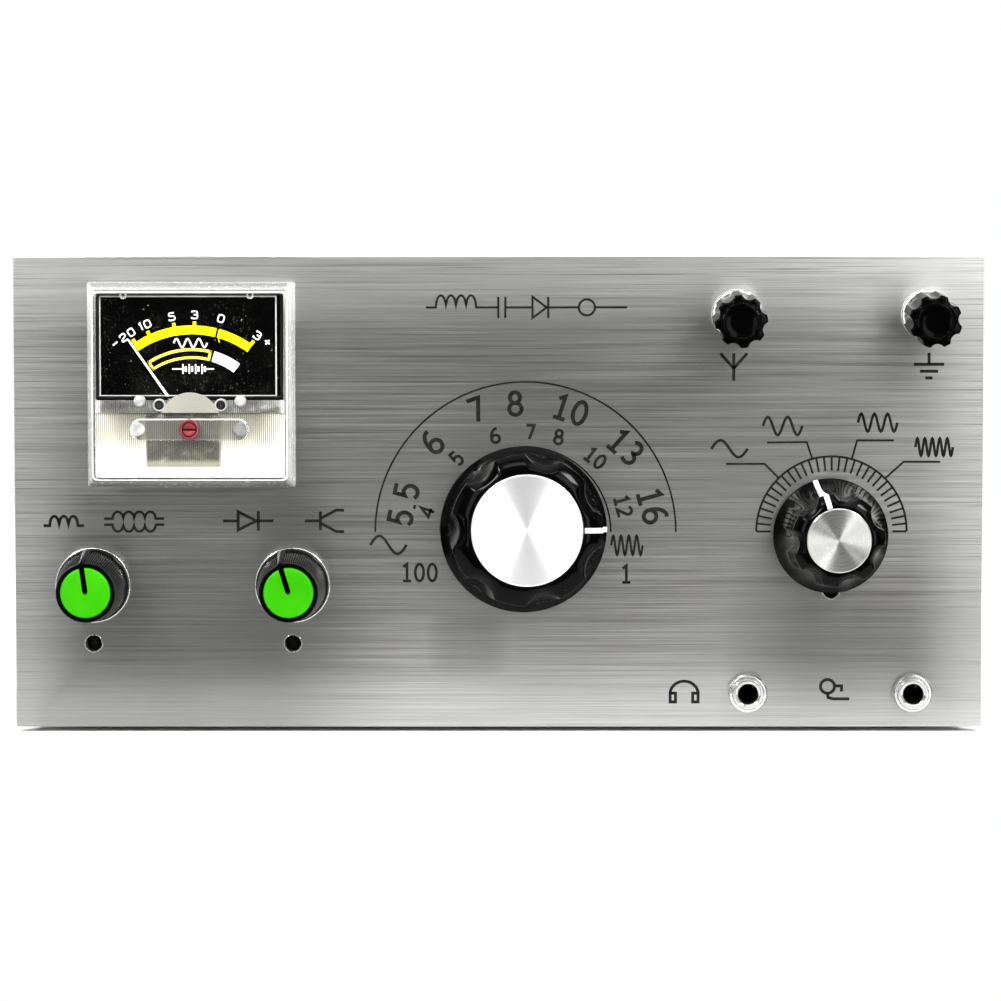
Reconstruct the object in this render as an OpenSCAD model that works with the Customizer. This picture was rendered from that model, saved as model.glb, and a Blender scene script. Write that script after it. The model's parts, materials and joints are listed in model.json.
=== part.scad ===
// Table-top crystal radio with a brushed front panel, a level meter, a tuning
// dial, a four-way band switch, two small two-way switches, two binding posts
// and two 3.5 mm jacks. Everything is in millimetres, Z up, the panel faces -Y.
// The pieces are drawn in panel coordinates: x to the right, v upwards from the
// table, h outwards from the panel's front face. pf() turns them into the frame.

/* [Front panel] */
// Width of the front panel
panel_w = 191.8; // [190:0.2:196]
// Height of the front panel
panel_h = 93.5; // [93:0.1:95]
// Thickness of the front panel
panel_t = 2; // [1.8:0.1:2.2]
// Gap between the table and the panel's lower edge
panel_gap = 1; // [0.6:0.1:1.4]

/* [Case] */
// Thickness of the folded sheet
sheet_t = 1.2; // [1:0.1:1.3]
// Depth from the panel's front face to the rear wall
case_depth = 76; // [74:1:84]
// Height of the rubber feet
foot_h = 2.2; // [2:0.1:2.4]

/* [Level meter] */
// Centre of the meter from the middle of the panel
meter_x = -60.4; // [-61:0.1:-60]
// Height of the meter's centre over the table
meter_v = 69.4; // [69:0.1:70]
// Depth of the clear cover in front of the panel
meter_depth = 10; // [9.8:0.1:11]
// Angle of the pointer at rest, from the +x direction
needle_rest = 124.7; // [118:0.1:126]
// Length of the pointer from its pivot
needle_len = 21.4; // [18:0.1:22]

/* [Tuning] */
// Tuning shaft from the middle of the panel
tune_x = 5.3; // [4:0.1:7]
// Height of the tuning shaft over the table
tune_v = 40.45; // [39:0.05:42]
// Radius of the tuning knob's skirt
tune_skirt_r = 16.35; // [15.5:0.05:17]
// Number of rotor vanes in the tuning capacitor
vane_count = 12; // [6:1:13]
// Radius of the rotor vanes
vane_r = 17; // [14:0.5:17]

/* [Switches] */
// Band switch from the middle of the panel
band_x = 66; // [65:0.1:67]
// Height of the band switch over the table
band_v = 39.9; // [38:0.1:41]
// Coil switch from the middle of the panel
coil_x = -80.4; // [-81:0.1:-79]
// Detector switch from the middle of the panel
det_x = -40.8; // [-42:0.1:-40]
// Height of the two small switches over the table
small_v = 29.35; // [28:0.05:31]
// Distance from a switch shaft down to its locating hole
locate_r = 11.7; // [11.5:0.1:12]

/* [Terminals and jacks] */
// Antenna post from the middle of the panel
ant_x = 47.2; // [45:0.1:49]
// Ground post from the middle of the panel
gnd_x = 84.6; // [82:0.1:86]
// Height of the posts over the table
post_v = 82.95; // [81:0.05:83]
// Headphone jack from the middle of the panel
hp_x = 49.5; // [48:0.1:51]
// Earphone jack from the middle of the panel
ep_x = 82.2; // [81:0.1:84]
// Height of the jacks over the table
jack_v = 8.05; // [8:0.05:9]
// Bore of the jacks
jack_bore = 3.6; // [3.5:0.05:3.7]

/* [Hidden] */
$fn = 64;

front_y = -27;                      // the panel's front face in the frame
hb = -(panel_t + sheet_t);          // inner face of the chassis front wall
ch_w = 183.8;                       // chassis width
ch_top = 90.6;                      // chassis height over the table
floor_v = foot_h + sheet_t;         // upper face of the chassis bottom
piv_x = meter_x - 0.05;             // pointer pivot
piv_v = meter_v - 8.7;
can_v = meter_v - 3.4;              // centre of the meter's round can
sw = [[band_x, band_v], [coil_x, small_v], [det_x, small_v]];
sw_r = [14, 11, 11];                // radii of the switch bodies
posts = [[ant_x, post_v], [gnd_x, post_v]];
jacks = [[hp_x, jack_v], [ep_x, jack_v]];
cap_h0 = hb;                        // front face of the capacitor frame
cap_len = 42.4;                     // length of the capacitor frame
pitch = 2.6;                        // vane pitch
vane_t = 0.6;                       // vane thickness

// panel coordinates to the frame
module pf() { translate([0, front_y, 0]) rotate([90, 0, 0]) children(); }
// a cylinder along h
module cyl(x, v, h0, h1, r) { translate([x, v, h0]) cylinder(h = h1 - h0, r = r); }
module cone(x, v, h0, h1, r0, r1) { translate([x, v, h0]) cylinder(h = h1 - h0, r1 = r0, r2 = r1); }
// a block between two corners
module blk(x0, x1, v0, v1, h0, h1) { translate([x0, v0, h0]) cube([x1 - x0, v1 - v0, h1 - h0]); }
// a cylinder along x, and one along v
module xcyl(x0, x1, v, h, r) { translate([x0, v, h]) rotate([0, 90, 0]) cylinder(h = x1 - x0, r = r); }
module vcyl(x, v0, v1, h, r) { translate([x, v0, h]) rotate([-90, 0, 0]) cylinder(h = v1 - v0, r = r); }
// a hexagonal nut along h: af is the distance across flats
module hexnut(x, v, h0, h1, af, r) {
    difference() {
        translate([x, v, h0]) cylinder(h = h1 - h0, r = af / 2 / cos(30), $fn = 6);
        cyl(x, v, h0 - 1, h1 + 1, r);
    }
}
// outline of a fluted knob: lobes at radius r, hollows depth deep cut with radius fr
module fluted(r, n, depth, fr, a0) {
    difference() {
        circle(r = r);
        for (k = [0 : n - 1]) rotate(a0 + k * 360 / n) translate([r - depth + fr, 0]) circle(r = fr);
    }
}

// ---- case ----

// every hole that the panel and the chassis front wall share
module control_holes(h0, h1) {
    cyl(tune_x, tune_v, h0, h1, 4.6);
    for (s = sw) {
        cyl(s[0], s[1], h0, h1, 4.6);
        cyl(s[0], s[1] - locate_r, h0, h1, 1.65);
    }
    for (p = posts) cyl(p[0], p[1], h0, h1, 3.1);
    for (j = jacks) cyl(j[0], j[1], h0, h1, 3.06);
    cyl(meter_x, can_v, h0, h1, 16.6);
    for (s = [-1, 1]) cyl(meter_x + s * 16.6, meter_v + s * 15.6, h0, h1, 1.4);
}

module front_panel() {
    color("silver") pf() difference() {
        blk(-panel_w / 2, panel_w / 2, panel_gap, panel_gap + panel_h, -panel_t, 0);
        control_holes(-panel_t - 1, 1);
    }
}

// one folded sheet: front wall, bottom, rear wall, and low side lips
module chassis() {
    color("lightgray") pf() difference() {
        union() {
            blk(-ch_w / 2, ch_w / 2, foot_h, ch_top, hb, -panel_t);
            blk(-ch_w / 2, ch_w / 2, foot_h, floor_v, -case_depth, hb);
            blk(-ch_w / 2, ch_w / 2, foot_h, ch_top, -case_depth, -case_depth + sheet_t);
            for (s = [0, 1]) mirror([s, 0, 0])
                blk(ch_w / 2 - sheet_t, ch_w / 2, foot_h, 15, -case_depth, hb);
            // top flanges of the two walls
            blk(-ch_w / 2, ch_w / 2, ch_top - sheet_t, ch_top, hb - 9, hb);
            blk(-ch_w / 2, ch_w / 2, ch_top - sheet_t, ch_top, -case_depth, -case_depth + 10);
        }
        control_holes(hb - 1, 0);
        for (h = [-18, -60]) xcyl(-ch_w / 2 - 1, ch_w / 2 + 1, 9, h, 1.55);
        // top corners cut away for the cover's bends
        for (s = [0, 1]) mirror([s, 0, 0]) blk(ch_w / 2 - 1, ch_w / 2 + 1, ch_top - 0.9, ch_top + 1, -case_depth - 1, 1);
    }
}

// bent sheet over the top and both sides, round at the two bends
function arc(cx, cy, r, a0, a1, n) = [for (i = [0 : n]) [cx + r * cos(a0 + (a1 - a0) * i / n), cy + r * sin(a0 + (a1 - a0) * i / n)]];
cov_o = 93.2;                        // outer half width of the cover
cov_top = 92;                        // its top over the table
cov_r = 2.4;                         // outer bend radius
module cover() {
    color([0.2, 0.21, 0.22]) pf() difference() {
        translate([0, 0, -case_depth]) linear_extrude(height = case_depth - panel_t - 0.3) polygon(concat(
            [[cov_o, 2.6]], arc(cov_o - cov_r, cov_top - cov_r, cov_r, 0, 90, 8),
            arc(-cov_o + cov_r, cov_top - cov_r, cov_r, 90, 180, 8), [[-cov_o, 2.6], [-cov_o + sheet_t, 2.6]],
            arc(-cov_o + cov_r, cov_top - cov_r, cov_r - sheet_t, 180, 90, 6),
            arc(cov_o - cov_r, cov_top - cov_r, cov_r - sheet_t, 90, 0, 6), [[cov_o - sheet_t, 2.6]]));
        for (h = [-18, -60]) xcyl(-cov_o - 1, cov_o + 1, 9, h, 1.7);
    }
}

// pan head screws through the cover into the chassis lips
module cover_screws() {
    color("dimgray") pf() for (h = [-18, -60], s = [0, 1]) mirror([s, 0, 0]) difference() {
        union() {
            xcyl(cov_o, cov_o + 1.7, 9, h, 2.8);
            xcyl(cov_o - 5, cov_o, 9, h, 1.5);
        }
        blk(cov_o + 0.7, cov_o + 2, 9 - 1.6, 9 + 1.6, h - 0.3, h + 0.3);
        blk(cov_o + 0.7, cov_o + 2, 9 - 0.3, 9 + 0.3, h - 1.6, h + 1.6);
    }
}

module feet() {
    color("black") pf() for (h = [-12, -66], s = [-1, 1]) translate([s * 80, 0, h]) rotate([-90, 0, 0]) union() {
        cylinder(h = foot_h - 0.8, r1 = 5, r2 = 5.5);
        translate([0, 0, foot_h - 0.8]) cylinder(h = 0.8, r = 5.5);
    }
}

// ---- level meter ----

// clear moulded cover: tapered sides, a raised bar that carries the zero adjuster
module meter_cover() {
    color([0.85, 0.9, 0.92, 0.35]) pf() difference() {
        union() {
            hull() {
                blk(meter_x - 20.85, meter_x + 20.25, meter_v - 20.6, meter_v + 19.95, 0, 0.6);
                blk(meter_x - 19.3, meter_x + 19.2, meter_v - 18.75, meter_v + 18.5, meter_depth - 0.5, meter_depth);
            }
            for (s = [-1, 1]) cyl(piv_x + s * 9.6, piv_v + 0.1, meter_depth - 0.1, meter_depth + 0.8, 2.15);
            blk(piv_x - 9.6, piv_x + 9.6, piv_v + 0.1 - 2.15, piv_v + 0.1 + 2.15, meter_depth - 0.1, meter_depth + 0.8);
        }
        hull() {
            blk(meter_x - 19.9, meter_x + 19.3, meter_v - 19.65, meter_v + 19, -1, 0.6);
            blk(meter_x - 18.85, meter_x + 18.75, meter_v - 18.4, meter_v + 18.1, meter_depth - 1.7, meter_depth - 1.2);
        }
        cyl(piv_x, piv_v + 0.1, 5, 20, 1.3);
    }
}

// base plate inside the cover, round can through the panel, two mounting studs
module meter_case() {
    color("ivory") pf() difference() {
        union() {
            blk(meter_x - 18.6, meter_x + 18.6, meter_v - 18.5, meter_v + 18.5, 0, 1.4);
            cyl(meter_x, can_v, -20, -0.05, 16.4);
            intersection() {
                cyl(meter_x, can_v, -1, 1, 16.4);
                blk(meter_x - 18.6, meter_x + 18.6, meter_v - 18.5, meter_v + 18.5, -1, 1);
            }
            for (s = [-1, 1]) cyl(meter_x + s * 16.6, meter_v + s * 15.6, -8, 1, 1.25);
            // pillars under the dial plate and under the mask
            for (s = [-1, 1]) {
                cyl(meter_x + s * 16, meter_v + 15.8, 1, 5.4, 1.2);
                cyl(meter_x + s * 16.6, meter_v - 1.2, 1, 5.4, 1);
                cyl(meter_x + s * 16, meter_v - 16, 1, 7.4, 1.2);
            }
        }
        cyl(meter_x, can_v, -18.6, 3, 15);
        for (s = [-1, 1]) cyl(meter_x + s * 8, can_v + 4, -22, -15, 1.5);
    }
}

module meter_dial_plate() {
    color([0.03, 0.03, 0.03]) pf()
        blk(meter_x - 18.6, meter_x + 18.4, meter_v - 3.1, meter_v + 18.15, 5.4, 6);
}

// cream moulding over the lower half, with the screw bosses beside the hub
module meter_mask() {
    color("cornsilk") pf() difference() {
        union() {
            blk(meter_x - 18.7, meter_x + 18.6, meter_v - 18.25, meter_v - 3.4, 7.4, 8.2);
            for (s = [-1, 1]) cyl(piv_x + s * 6.05, piv_v + 4.8, 7.4, 8.2, 1.35);
            for (s = [-1, 1]) cyl(piv_x + s * 9.9, piv_v + 5.6, 7.4, 8.2, 1.15);
        }
        for (s = [-1, 1]) cyl(piv_x + s * 6.05, piv_v + 4.8, 7, 9, 0.8);
        cyl(piv_x, piv_v + 0.1, 7, 9, 2.5);
        cyl(piv_x, piv_v + 4.2, 7, 9, 0.74);
    }
}

// grey shield over the hub: a disc segment with a peg into the mask
module meter_hub_cover() {
    color("darkgray") pf() union() {
        intersection() {
            cyl(piv_x, piv_v + 1.3, 8.2, 8.65, 6);
            blk(piv_x - 8, piv_x + 8, piv_v + 3.2, piv_v + 9, 7, 9);
        }
        cyl(piv_x, piv_v + 4.2, 7.4, 8.4, 0.7);
    }
}

// pole ring, core, webs between them, and the two bearing bridges
module meter_magnet() {
    color("gray") pf() translate([piv_x, piv_v, 0]) difference() {
        union() {
            difference() { cyl(0, 0, -3.6, 4.4, 7.4); cyl(0, 0, -5, 5, 6.2); }
            cyl(0, 0, -3.6, 4.4, 4.5);
            for (s = [0, 1]) mirror([s, 0, 0]) {
                blk(4.2, 6.5, -0.8, 0.8, -3.6, 4.4);
                blk(6.3, 7.2, -1.1, 1.1, -18.6, 7.3);
            }
            blk(-7, 7, -1.1, 1.1, 6.9, 7.3);
            blk(-7, 7, -1.1, 1.1, -6.4, -5.4);
        }
        cyl(0, 0, 6, 8, 0.25);
        cyl(0, 0, -7, -5, 0.25);
    }
}

module meter_terminals() {
    color("gold") pf() for (s = [-1, 1]) {
        cyl(meter_x + s * 8, can_v + 4, -28, -18.6, 1.45);
        cyl(meter_x + s * 8, can_v + 4, -18.6, -17.6, 2.4);
    }
}

module meter_nuts() {
    color("silver") pf() {
        for (s = [-1, 1]) hexnut(meter_x + s * 16.6, meter_v + s * 15.6, hb - 2, hb, 5, 1.27);
        for (s = [-1, 1]) hexnut(meter_x + s * 8, can_v + 4, -22.4, -20, 5.5, 1.47);
    }
}

// pointer with its hub, tail weight, coil frame and pivot pins
module meter_pointer() {
    color("white") pf() translate([piv_x, piv_v, 0]) rotate([0, 0, needle_rest]) {
        difference() {
            blk(-5.7, 5.7, -0.8, 0.8, -4.4, 5.2);
            blk(-5, 5, -1, 1, -4, 4.8);
        }
        cyl(0, 0, 5, 6.75, 1);
        cyl(0, 0, -5.9, -4.2, 0.2);
        cyl(0, 0, 6.6, 7.2, 0.2);
        blk(0, needle_len, -0.18, 0.18, 6.4, 6.65);
        blk(-4.2, 0, -0.5, 0.5, 6.3, 6.7);
    }
}

// slotted red screw in the clear cover, with an eccentric pin behind it
module zero_adjuster() {
    color("firebrick") pf() translate([piv_x, piv_v + 0.1, 0]) difference() {
        union() {
            cyl(0, 0, meter_depth + 0.85, meter_depth + 1.3, 2.08);
            cyl(0, 0, meter_depth - 1.6, meter_depth + 0.9, 1.25);
            cyl(0, 0, meter_depth - 1.8, meter_depth - 1.35, 1.8);
            cyl(0.6, 0, meter_depth - 2.2, meter_depth - 1.7, 0.3);
        }
        difference() { cyl(0, 0, meter_depth + 1.1, 20, 1.5); cyl(0, 0, 5, 25, 1.25); }
        blk(-1.1, 1.1, -0.17, 0.17, meter_depth + 0.9, 20);
    }
}

// ---- tuning capacitor ----

module capacitor_frame() {
    color("silver") pf() translate([tune_x, tune_v, 0]) difference() {
        union() {
            blk(-22, 22, -27, 23, cap_h0 - 1.6, cap_h0);
            blk(-22, 22, -27, 23, cap_h0 - cap_len, cap_h0 - cap_len + 1.6);
            for (s = [-1, 1]) cyl(s * 19, 20, cap_h0 - cap_len + 1, cap_h0 - 1, 2);
            cyl(0, -24.5, cap_h0 - cap_len + 1, cap_h0 - 1, 2);
            cyl(0, 0, cap_h0 - 1, 4, 4.5);
            cyl(0, 0, cap_h0 - 5, cap_h0 - 1, 5.5);
            cyl(0, 0, cap_h0 - cap_len - 2, cap_h0 - cap_len + 1, 5.5);
        }
        cyl(0, 0, -80, 20, 3.05);
    }
}

// fixed plates: lower half, on two bars
module capacitor_stator() {
    color("lightgray") pf() translate([tune_x, tune_v, 0]) {
        for (k = [0 : vane_count - 2]) difference() {
            blk(-20, 20, -21, -1, vane_h(k) - pitch / 2 - vane_t / 2, vane_h(k) - pitch / 2 + vane_t / 2);
            cyl(0, 0, -80, 20, 6.6);
        }
        for (s = [-1, 1]) cyl(s * 17.5, -18.5, cap_h0 - cap_len + 1.6 + 2.4, cap_h0 - 1.6 - 2.4, 1.5);
    }
}
function vane_h(k) = cap_h0 - 6.2 - k * pitch;

module capacitor_insulators() {
    color("white") pf() translate([tune_x, tune_v, 0]) for (s = [-1, 1]) {
        cyl(s * 17.5, -18.5, cap_h0 - 4, cap_h0 - 1.6, 2.6);
        cyl(s * 17.5, -18.5, cap_h0 - cap_len + 1.6, cap_h0 - cap_len + 4, 2.6);
    }
}

// shaft with the turning vanes: upper half at rest, which is the open position
module capacitor_rotor() {
    color("silver") pf() translate([tune_x, tune_v, 0]) difference() {
        union() {
            cyl(0, 0, cap_h0 - cap_len - 2.6, 14, 3);
            cyl(0, 0, vane_h(vane_count - 1) - 1.4, vane_h(0) + 0.8, 5);
            for (k = [0 : vane_count - 1]) intersection() {
                cyl(0, 0, vane_h(k) - vane_t / 2, vane_h(k) + vane_t / 2, vane_r);
                blk(-20, 20, 0, 20, -80, 20);
            }
        }
        blk(-4, 4, 2.2, 4, 6, 15);
    }
}

// nuts on the bushings of the tuning capacitor and the switches
module bushing_nuts() {
    color("silver") pf() for (p = concat([[tune_x, tune_v]], sw)) hexnut(p[0], p[1], 0, 2.2, 12, 4.52);
}

// ---- knobs ----

module tuning_knob() {
    color([0.05, 0.05, 0.05]) pf() translate([tune_x, tune_v, 0]) difference() {
        union() {
            cyl(0, 0, 0.7, 2, tune_skirt_r);
            cone(0, 0, 2, 3.4, tune_skirt_r, 15.2);
            translate([0, 0, 3.2]) linear_extrude(height = 12.8) fluted(15.1, 7, 1.7, 5.5, 360 / 14);
        }
        cyl(0, 0, 0, 4.6, 8.2);
        cyl(0, 0, 0, 14, 3.02);
        cyl(0, 0, 15.2, 20, 11.4);
        translate([0, 0, 8.5]) rotate([-90, 0, 0]) cylinder(h = 20, r = 1.6);
    }
}

module tuning_knob_disc() {
    color("gainsboro") pf() cyl(tune_x, tune_v, 15.2, 16.1, 11.3);
}

module tuning_set_screw() {
    color("dimgray") pf() translate([tune_x, tune_v, 8.5]) rotate([-90, 0, 0]) difference() {
        translate([0, 0, 2.25]) cylinder(h = 6.8, r = 1.55);
        translate([0, 0, 7.5]) cylinder(h = 5, r = 0.8, $fn = 6);
    }
}

module band_knob() {
    color([0.05, 0.05, 0.05]) pf() translate([band_x, band_v, 0]) difference() {
        union() {
            cyl(0, 0, 0.7, 1.6, 11.7);
            cone(0, 0, 1.6, 9, 11.7, 8.6);
            translate([0, 0, 5]) linear_extrude(height = 15) fluted(9.1, 7, 1.1, 3.2, 106 + 360 / 14);
        }
        cyl(0, 0, 0, 4.4, 7.4);
        cyl(0, 0, 0, 18, 3.02);
        cyl(0, 0, 19.2, 24, 6.5);
    }
}

module band_knob_disc() {
    color("gainsboro") pf() cyl(band_x, band_v, 19.2, 20.1, 6.4);
}

// small knob: thin flange and a slightly tapered grip, with a socket for its cap
module small_knob(x) {
    color([0.06, 0.06, 0.06]) pf() translate([x, small_v, 0]) difference() {
        union() {
            cyl(0, 0, 0.6, 1.6, 7.5);
            cone(0, 0, 1.6, 3, 7.4, 7);
            cone(0, 0, 3, 18.6, 6.9, 5.75);
        }
        cyl(0, 0, 0, 2.8, 7);
        cyl(0, 0, 0, 4.4, 4.9);
        cyl(0, 0, 0, 15, 3.02);
        cyl(0, 0, 17.6, 24, 5);
    }
}
module small_cap(x, a) {
    color("limegreen") pf() translate([x, small_v, 0]) difference() {
        cyl(0, 0, 17.6, 18.9, 4.9);
        rotate([0, 0, a]) blk(0, 6, -0.5, 0.5, 18.3, 20);
    }
}
module coil_switch_knob() { small_knob(coil_x); }
module coil_switch_cap() { small_cap(coil_x, 98); }
module detector_switch_knob() { small_knob(det_x); }
module detector_switch_cap() { small_cap(det_x, 107); }

// ---- rotary switches ----

// cup with a threaded bushing and a locating lug
module switch_body(i) {
    color("silver") pf() translate([sw[i][0], sw[i][1], 0]) difference() {
        union() {
            cyl(0, 0, hb - 9, hb, sw_r[i]);
            cyl(0, 0, hb - 1, 4, 4.5);
            blk(-2.6, 2.6, -locate_r - 1.8, -5, hb - 1.4, hb);
            blk(-0.6, 0.6, -locate_r - 1.2, -locate_r + 1.2, hb - 1, -panel_t - 0.1);
        }
        cyl(0, 0, hb - 12, hb - 1.4, sw_r[i] - 1.2);
        cyl(0, 0, hb - 12, 20, 3.05);
    }
}
module band_switch_body() { switch_body(0); }
module coil_switch_body() { switch_body(1); }
module detector_switch_body() { switch_body(2); }

// shaft with the detent wheel and the contact arm; the free end has a flat
module switch_shaft(i, top) {
    color("silver") pf() translate([sw[i][0], sw[i][1], 0]) difference() {
        union() {
            cyl(0, 0, hb - 12.5, top, 3);
            translate([0, 0, hb - 4.4]) linear_extrude(height = 2.2) fluted(8.5, 12, 0.9, 1.6, 0);
            cyl(0, 0, hb - 8, hb - 6.6, 6);
            blk(-1.6, 1.6, 0, sw_r[i] - 2.6, hb - 8, hb - 7.2);
        }
        blk(-4, 4, -4, -2.2, 5, 25);
    }
}
module band_switch_shaft() { switch_shaft(0, 17); }
module coil_switch_shaft() { switch_shaft(1, 14); }
module detector_switch_shaft() { switch_shaft(2, 14); }

// insulating discs that close the switch cups, with slots for the terminals
function term_n(i) = i == 0 ? 12 : 6;
module switch_wafers() {
    color("sienna") pf() for (i = [0 : 2]) translate([sw[i][0], sw[i][1], 0]) difference() {
        cyl(0, 0, hb - 10.4, hb - 9, sw_r[i]);
        cyl(0, 0, hb - 12, hb - 8, 3.1);
        for (k = [0 : term_n(i) - 1]) rotate([0, 0, 15 + k * 360 / term_n(i)]) blk(sw_r[i] - 2.9, sw_r[i] - 2.1, -1, 1, hb - 12, hb - 8);
    }
}
module switch_terminals() {
    color("gold") pf() for (i = [0 : 2]) translate([sw[i][0], sw[i][1], 0])
        for (k = [0 : term_n(i) - 1]) rotate([0, 0, 15 + k * 360 / term_n(i)]) difference() {
            blk(sw_r[i] - 2.8, sw_r[i] - 2.2, -0.9, 0.9, hb - 15.4, hb - 8.6);
            translate([sw_r[i] - 4.5, 0, hb - 13.8]) rotate([0, 90, 0]) cylinder(h = 4, r = 0.45);
        }
}

// ---- binding posts ----

module post_stud(p) {
    color("silver") pf() difference() {
        union() {
            cyl(p[0], p[1], 1.3, 2.6, 5.05);
            cyl(p[0], p[1], 2.6, 3.7, 4.6);
            cyl(p[0], p[1], -16, 19, 2);
        }
        // cross hole for the wire, opened when the cap is unscrewed
        translate([p[0], p[1], 5.6]) rotate([-90, 0, 0]) cylinder(h = 12, r = 0.8, center = true);
    }
}
module antenna_post_stud() { post_stud(posts[0]); }
module ground_post_stud() { post_stud(posts[1]); }

// shouldered washers that keep the studs off the metal
module post_insulators() {
    color("black") pf() for (p = posts) {
        difference() {
            union() { cyl(p[0], p[1], 0, 1.3, 4.9); cyl(p[0], p[1], hb, 0, 3); }
            cyl(p[0], p[1], -10, 5, 2.04);
        }
        difference() { cyl(p[0], p[1], hb - 1.5, hb, 4.6); cyl(p[0], p[1], -10, 5, 2.04); }
    }
}
module post_nuts() {
    color("silver") pf() for (p = posts) {
        hexnut(p[0], p[1], hb - 4.1, hb - 1.5, 7, 2.02);
        hexnut(p[0], p[1], hb - 8.4, hb - 5.8, 7, 2.02);
    }
}
module post_cap(p, a0) {
    color([0.06, 0.06, 0.06]) pf() translate([p[0], p[1], 0]) difference() {
        union() {
            // the back end tapers, so the bright collar shows all round
            intersection() {
                translate([0, 0, 4.6]) linear_extrude(height = 16.4) fluted(5.2, 8, 0.8, 1.6, a0);
                union() { cone(0, 0, 4.6, 8.6, 4.45, 5.4); cyl(0, 0, 8.5, 21, 5.4); }
            }
            cone(0, 0, 20.8, 22, 4.3, 3.6);
        }
        cyl(0, 0, 4, 20.2, 2.08);
        cyl(0, 0, 21.5, 23, 2.9);
    }
}
module antenna_post_cap() { post_cap(posts[0], 29.5); }
module ground_post_cap() { post_cap(posts[1], 3.5); }
module post_washer(p) {
    color("silver") pf() difference() { cyl(p[0], p[1], 3.75, 4.5, 4.1); cyl(p[0], p[1], 0, 10, 2.08); }
}
module antenna_post_washer() { post_washer(posts[0]); }
module ground_post_washer() { post_washer(posts[1]); }

// ---- jacks ----

module jack_body(p) {
    color([0.1, 0.1, 0.1]) pf() difference() {
        union() {
            cyl(p[0], p[1], hb - 15, hb, 4.3);
            cyl(p[0], p[1], hb - 1, 2.9, 3);
        }
        cyl(p[0], p[1], -11.5, 10, jack_bore / 2);
        cone(p[0], p[1], 2.4, 3.0, jack_bore / 2, 2.4);
        cyl(p[0], p[1], hb - 20, -11.4, 2.9);
    }
}
module headphone_jack() { jack_body(jacks[0]); }
module earphone_jack() { jack_body(jacks[1]); }

// slotted ring nuts
module jack_nuts() {
    color("silver") pf() for (p = jacks) difference() {
        cyl(p[0], p[1], 0, 2.2, 3.95);
        cyl(p[0], p[1], -1, 4, 3.02);
        blk(p[0] - 5, p[0] + 5, p[1] - 0.4, p[1] + 0.4, 1.5, 4);
    }
}

// contact springs inside the open rear of each jack, with their solder tails
module jack_contacts() {
    color("gold") pf() for (p = jacks, s = [-1, 1]) union() {
        blk(p[0] + s * 2.2 - 0.2, p[0] + s * 2.2 + 0.2, p[1] - 0.8, p[1] + 0.8, -22, -12);
        blk(p[0] + s * 2.2 - (s > 0 ? 0.7 : 0.2), p[0] + s * 2.2 + (s > 0 ? 0.2 : 0.7), p[1] - 0.8, p[1] + 0.8, -12.4, -12);
    }
}

// ---- coils ----

coil_v = 30;
coil_h = -56;
module coil_former() {
    color("peru") pf() difference() {
        union() {
            xcyl(-80, -22, coil_v, coil_h, 11);
            for (x = [-80, -25]) {
                xcyl(x, x + 3, coil_v, coil_h, 13.4);
                blk(x, x + 3, floor_v, coil_v, coil_h - 7, coil_h + 7);
            }
        }
        xcyl(-81, -21, coil_v, coil_h, 9.4);
    }
}
// close-wound sleeve: the outline follows each turn
module winding(x0, turns, step, r0) {
    translate([x0, coil_v, coil_h]) rotate([0, 90, 0]) rotate_extrude()
        polygon(concat([[r0, 0]], [for (i = [0 : turns - 1], j = [0 : 4])
            [r0 + step * (0.55 + 0.5 * sin(36 * j + 18)), step * (i + (1 - cos(36 * j + 18)) / 2)]], [[r0, step * turns]]));
}
module antenna_winding() { color("orangered") pf() winding(-74, 11, 1.1, 11.02); }
module detector_winding() { color("sandybrown") pf() winding(-56, 24, 1.1, 11.02); }

// ---- detector board ----

brd_v = 10.4;
module circuit_board() {
    color("darkgreen") pf() difference() {
        blk(34, 84, brd_v, brd_v + 1.6, -66, -34);
        for (x = [38, 80], h = [-38, -62]) vcyl(x, 0, 30, h, 1.5);
    }
}
module board_standoffs() {
    color("white") pf() for (x = [38, 80], h = [-38, -62]) {
        vcyl(x, floor_v, brd_v, h, 2.6);
        vcyl(x, brd_v, brd_v + 1.65, h, 1.45);
        translate([x, brd_v + 1.65, h]) rotate([-90, 0, 0]) cylinder(h = 1.6, r1 = 1.9, r2 = 1.1);
    }
}
top_v = brd_v + 1.6;                 // upper face of the board
// a lead pair: body axis along x at height v, ends bent down to the board
module leads(x0, x1, v, h, r) {
    xcyl(x0 - r, x1 + r, v, h, r);
    vcyl(x0, top_v, v, h, r);
    vcyl(x1, top_v, v, h, r);
}
module germanium_diode() {
    color("khaki") pf() union() { leads(55, 69, 14, -42, 0.3); xcyl(58.5, 65.5, 14, -42, 1.4); }
}
module detector_transistor() {
    color([0.12, 0.12, 0.12]) pf() union() {
        intersection() {
            vcyl(62, top_v + 3, top_v + 8, -52, 2.4);
            blk(59, 65, top_v, top_v + 10, -53.2, -49);
        }
        for (s = [-1, 0, 1]) vcyl(62 + s * 1.27, top_v, top_v + 4, -51.6, 0.25);
    }
}
module resistors() {
    color("tan") pf() for (h = [-47, -57, -62]) union() {
        leads(67, 77, 13.4, h, 0.3);
        xcyl(69, 75, 13.4, h, 1.15);
        xcyl(68.8, 70.2, 13.4, h, 1.35);
        xcyl(73.8, 75.2, 13.4, h, 1.35);
    }
}
module disc_capacitors() {
    color("orange") pf() for (p = [[42, -45], [56, -57], [72, -52]]) union() {
        translate([p[0], top_v + 5.6, p[1] - 1.1]) cylinder(h = 2.2, r = 3.1);
        for (s = [-1, 1]) vcyl(p[0] + s * 2.2, top_v, top_v + 5, p[1], 0.3);
    }
}

// ---- hook-up wiring ----

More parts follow.
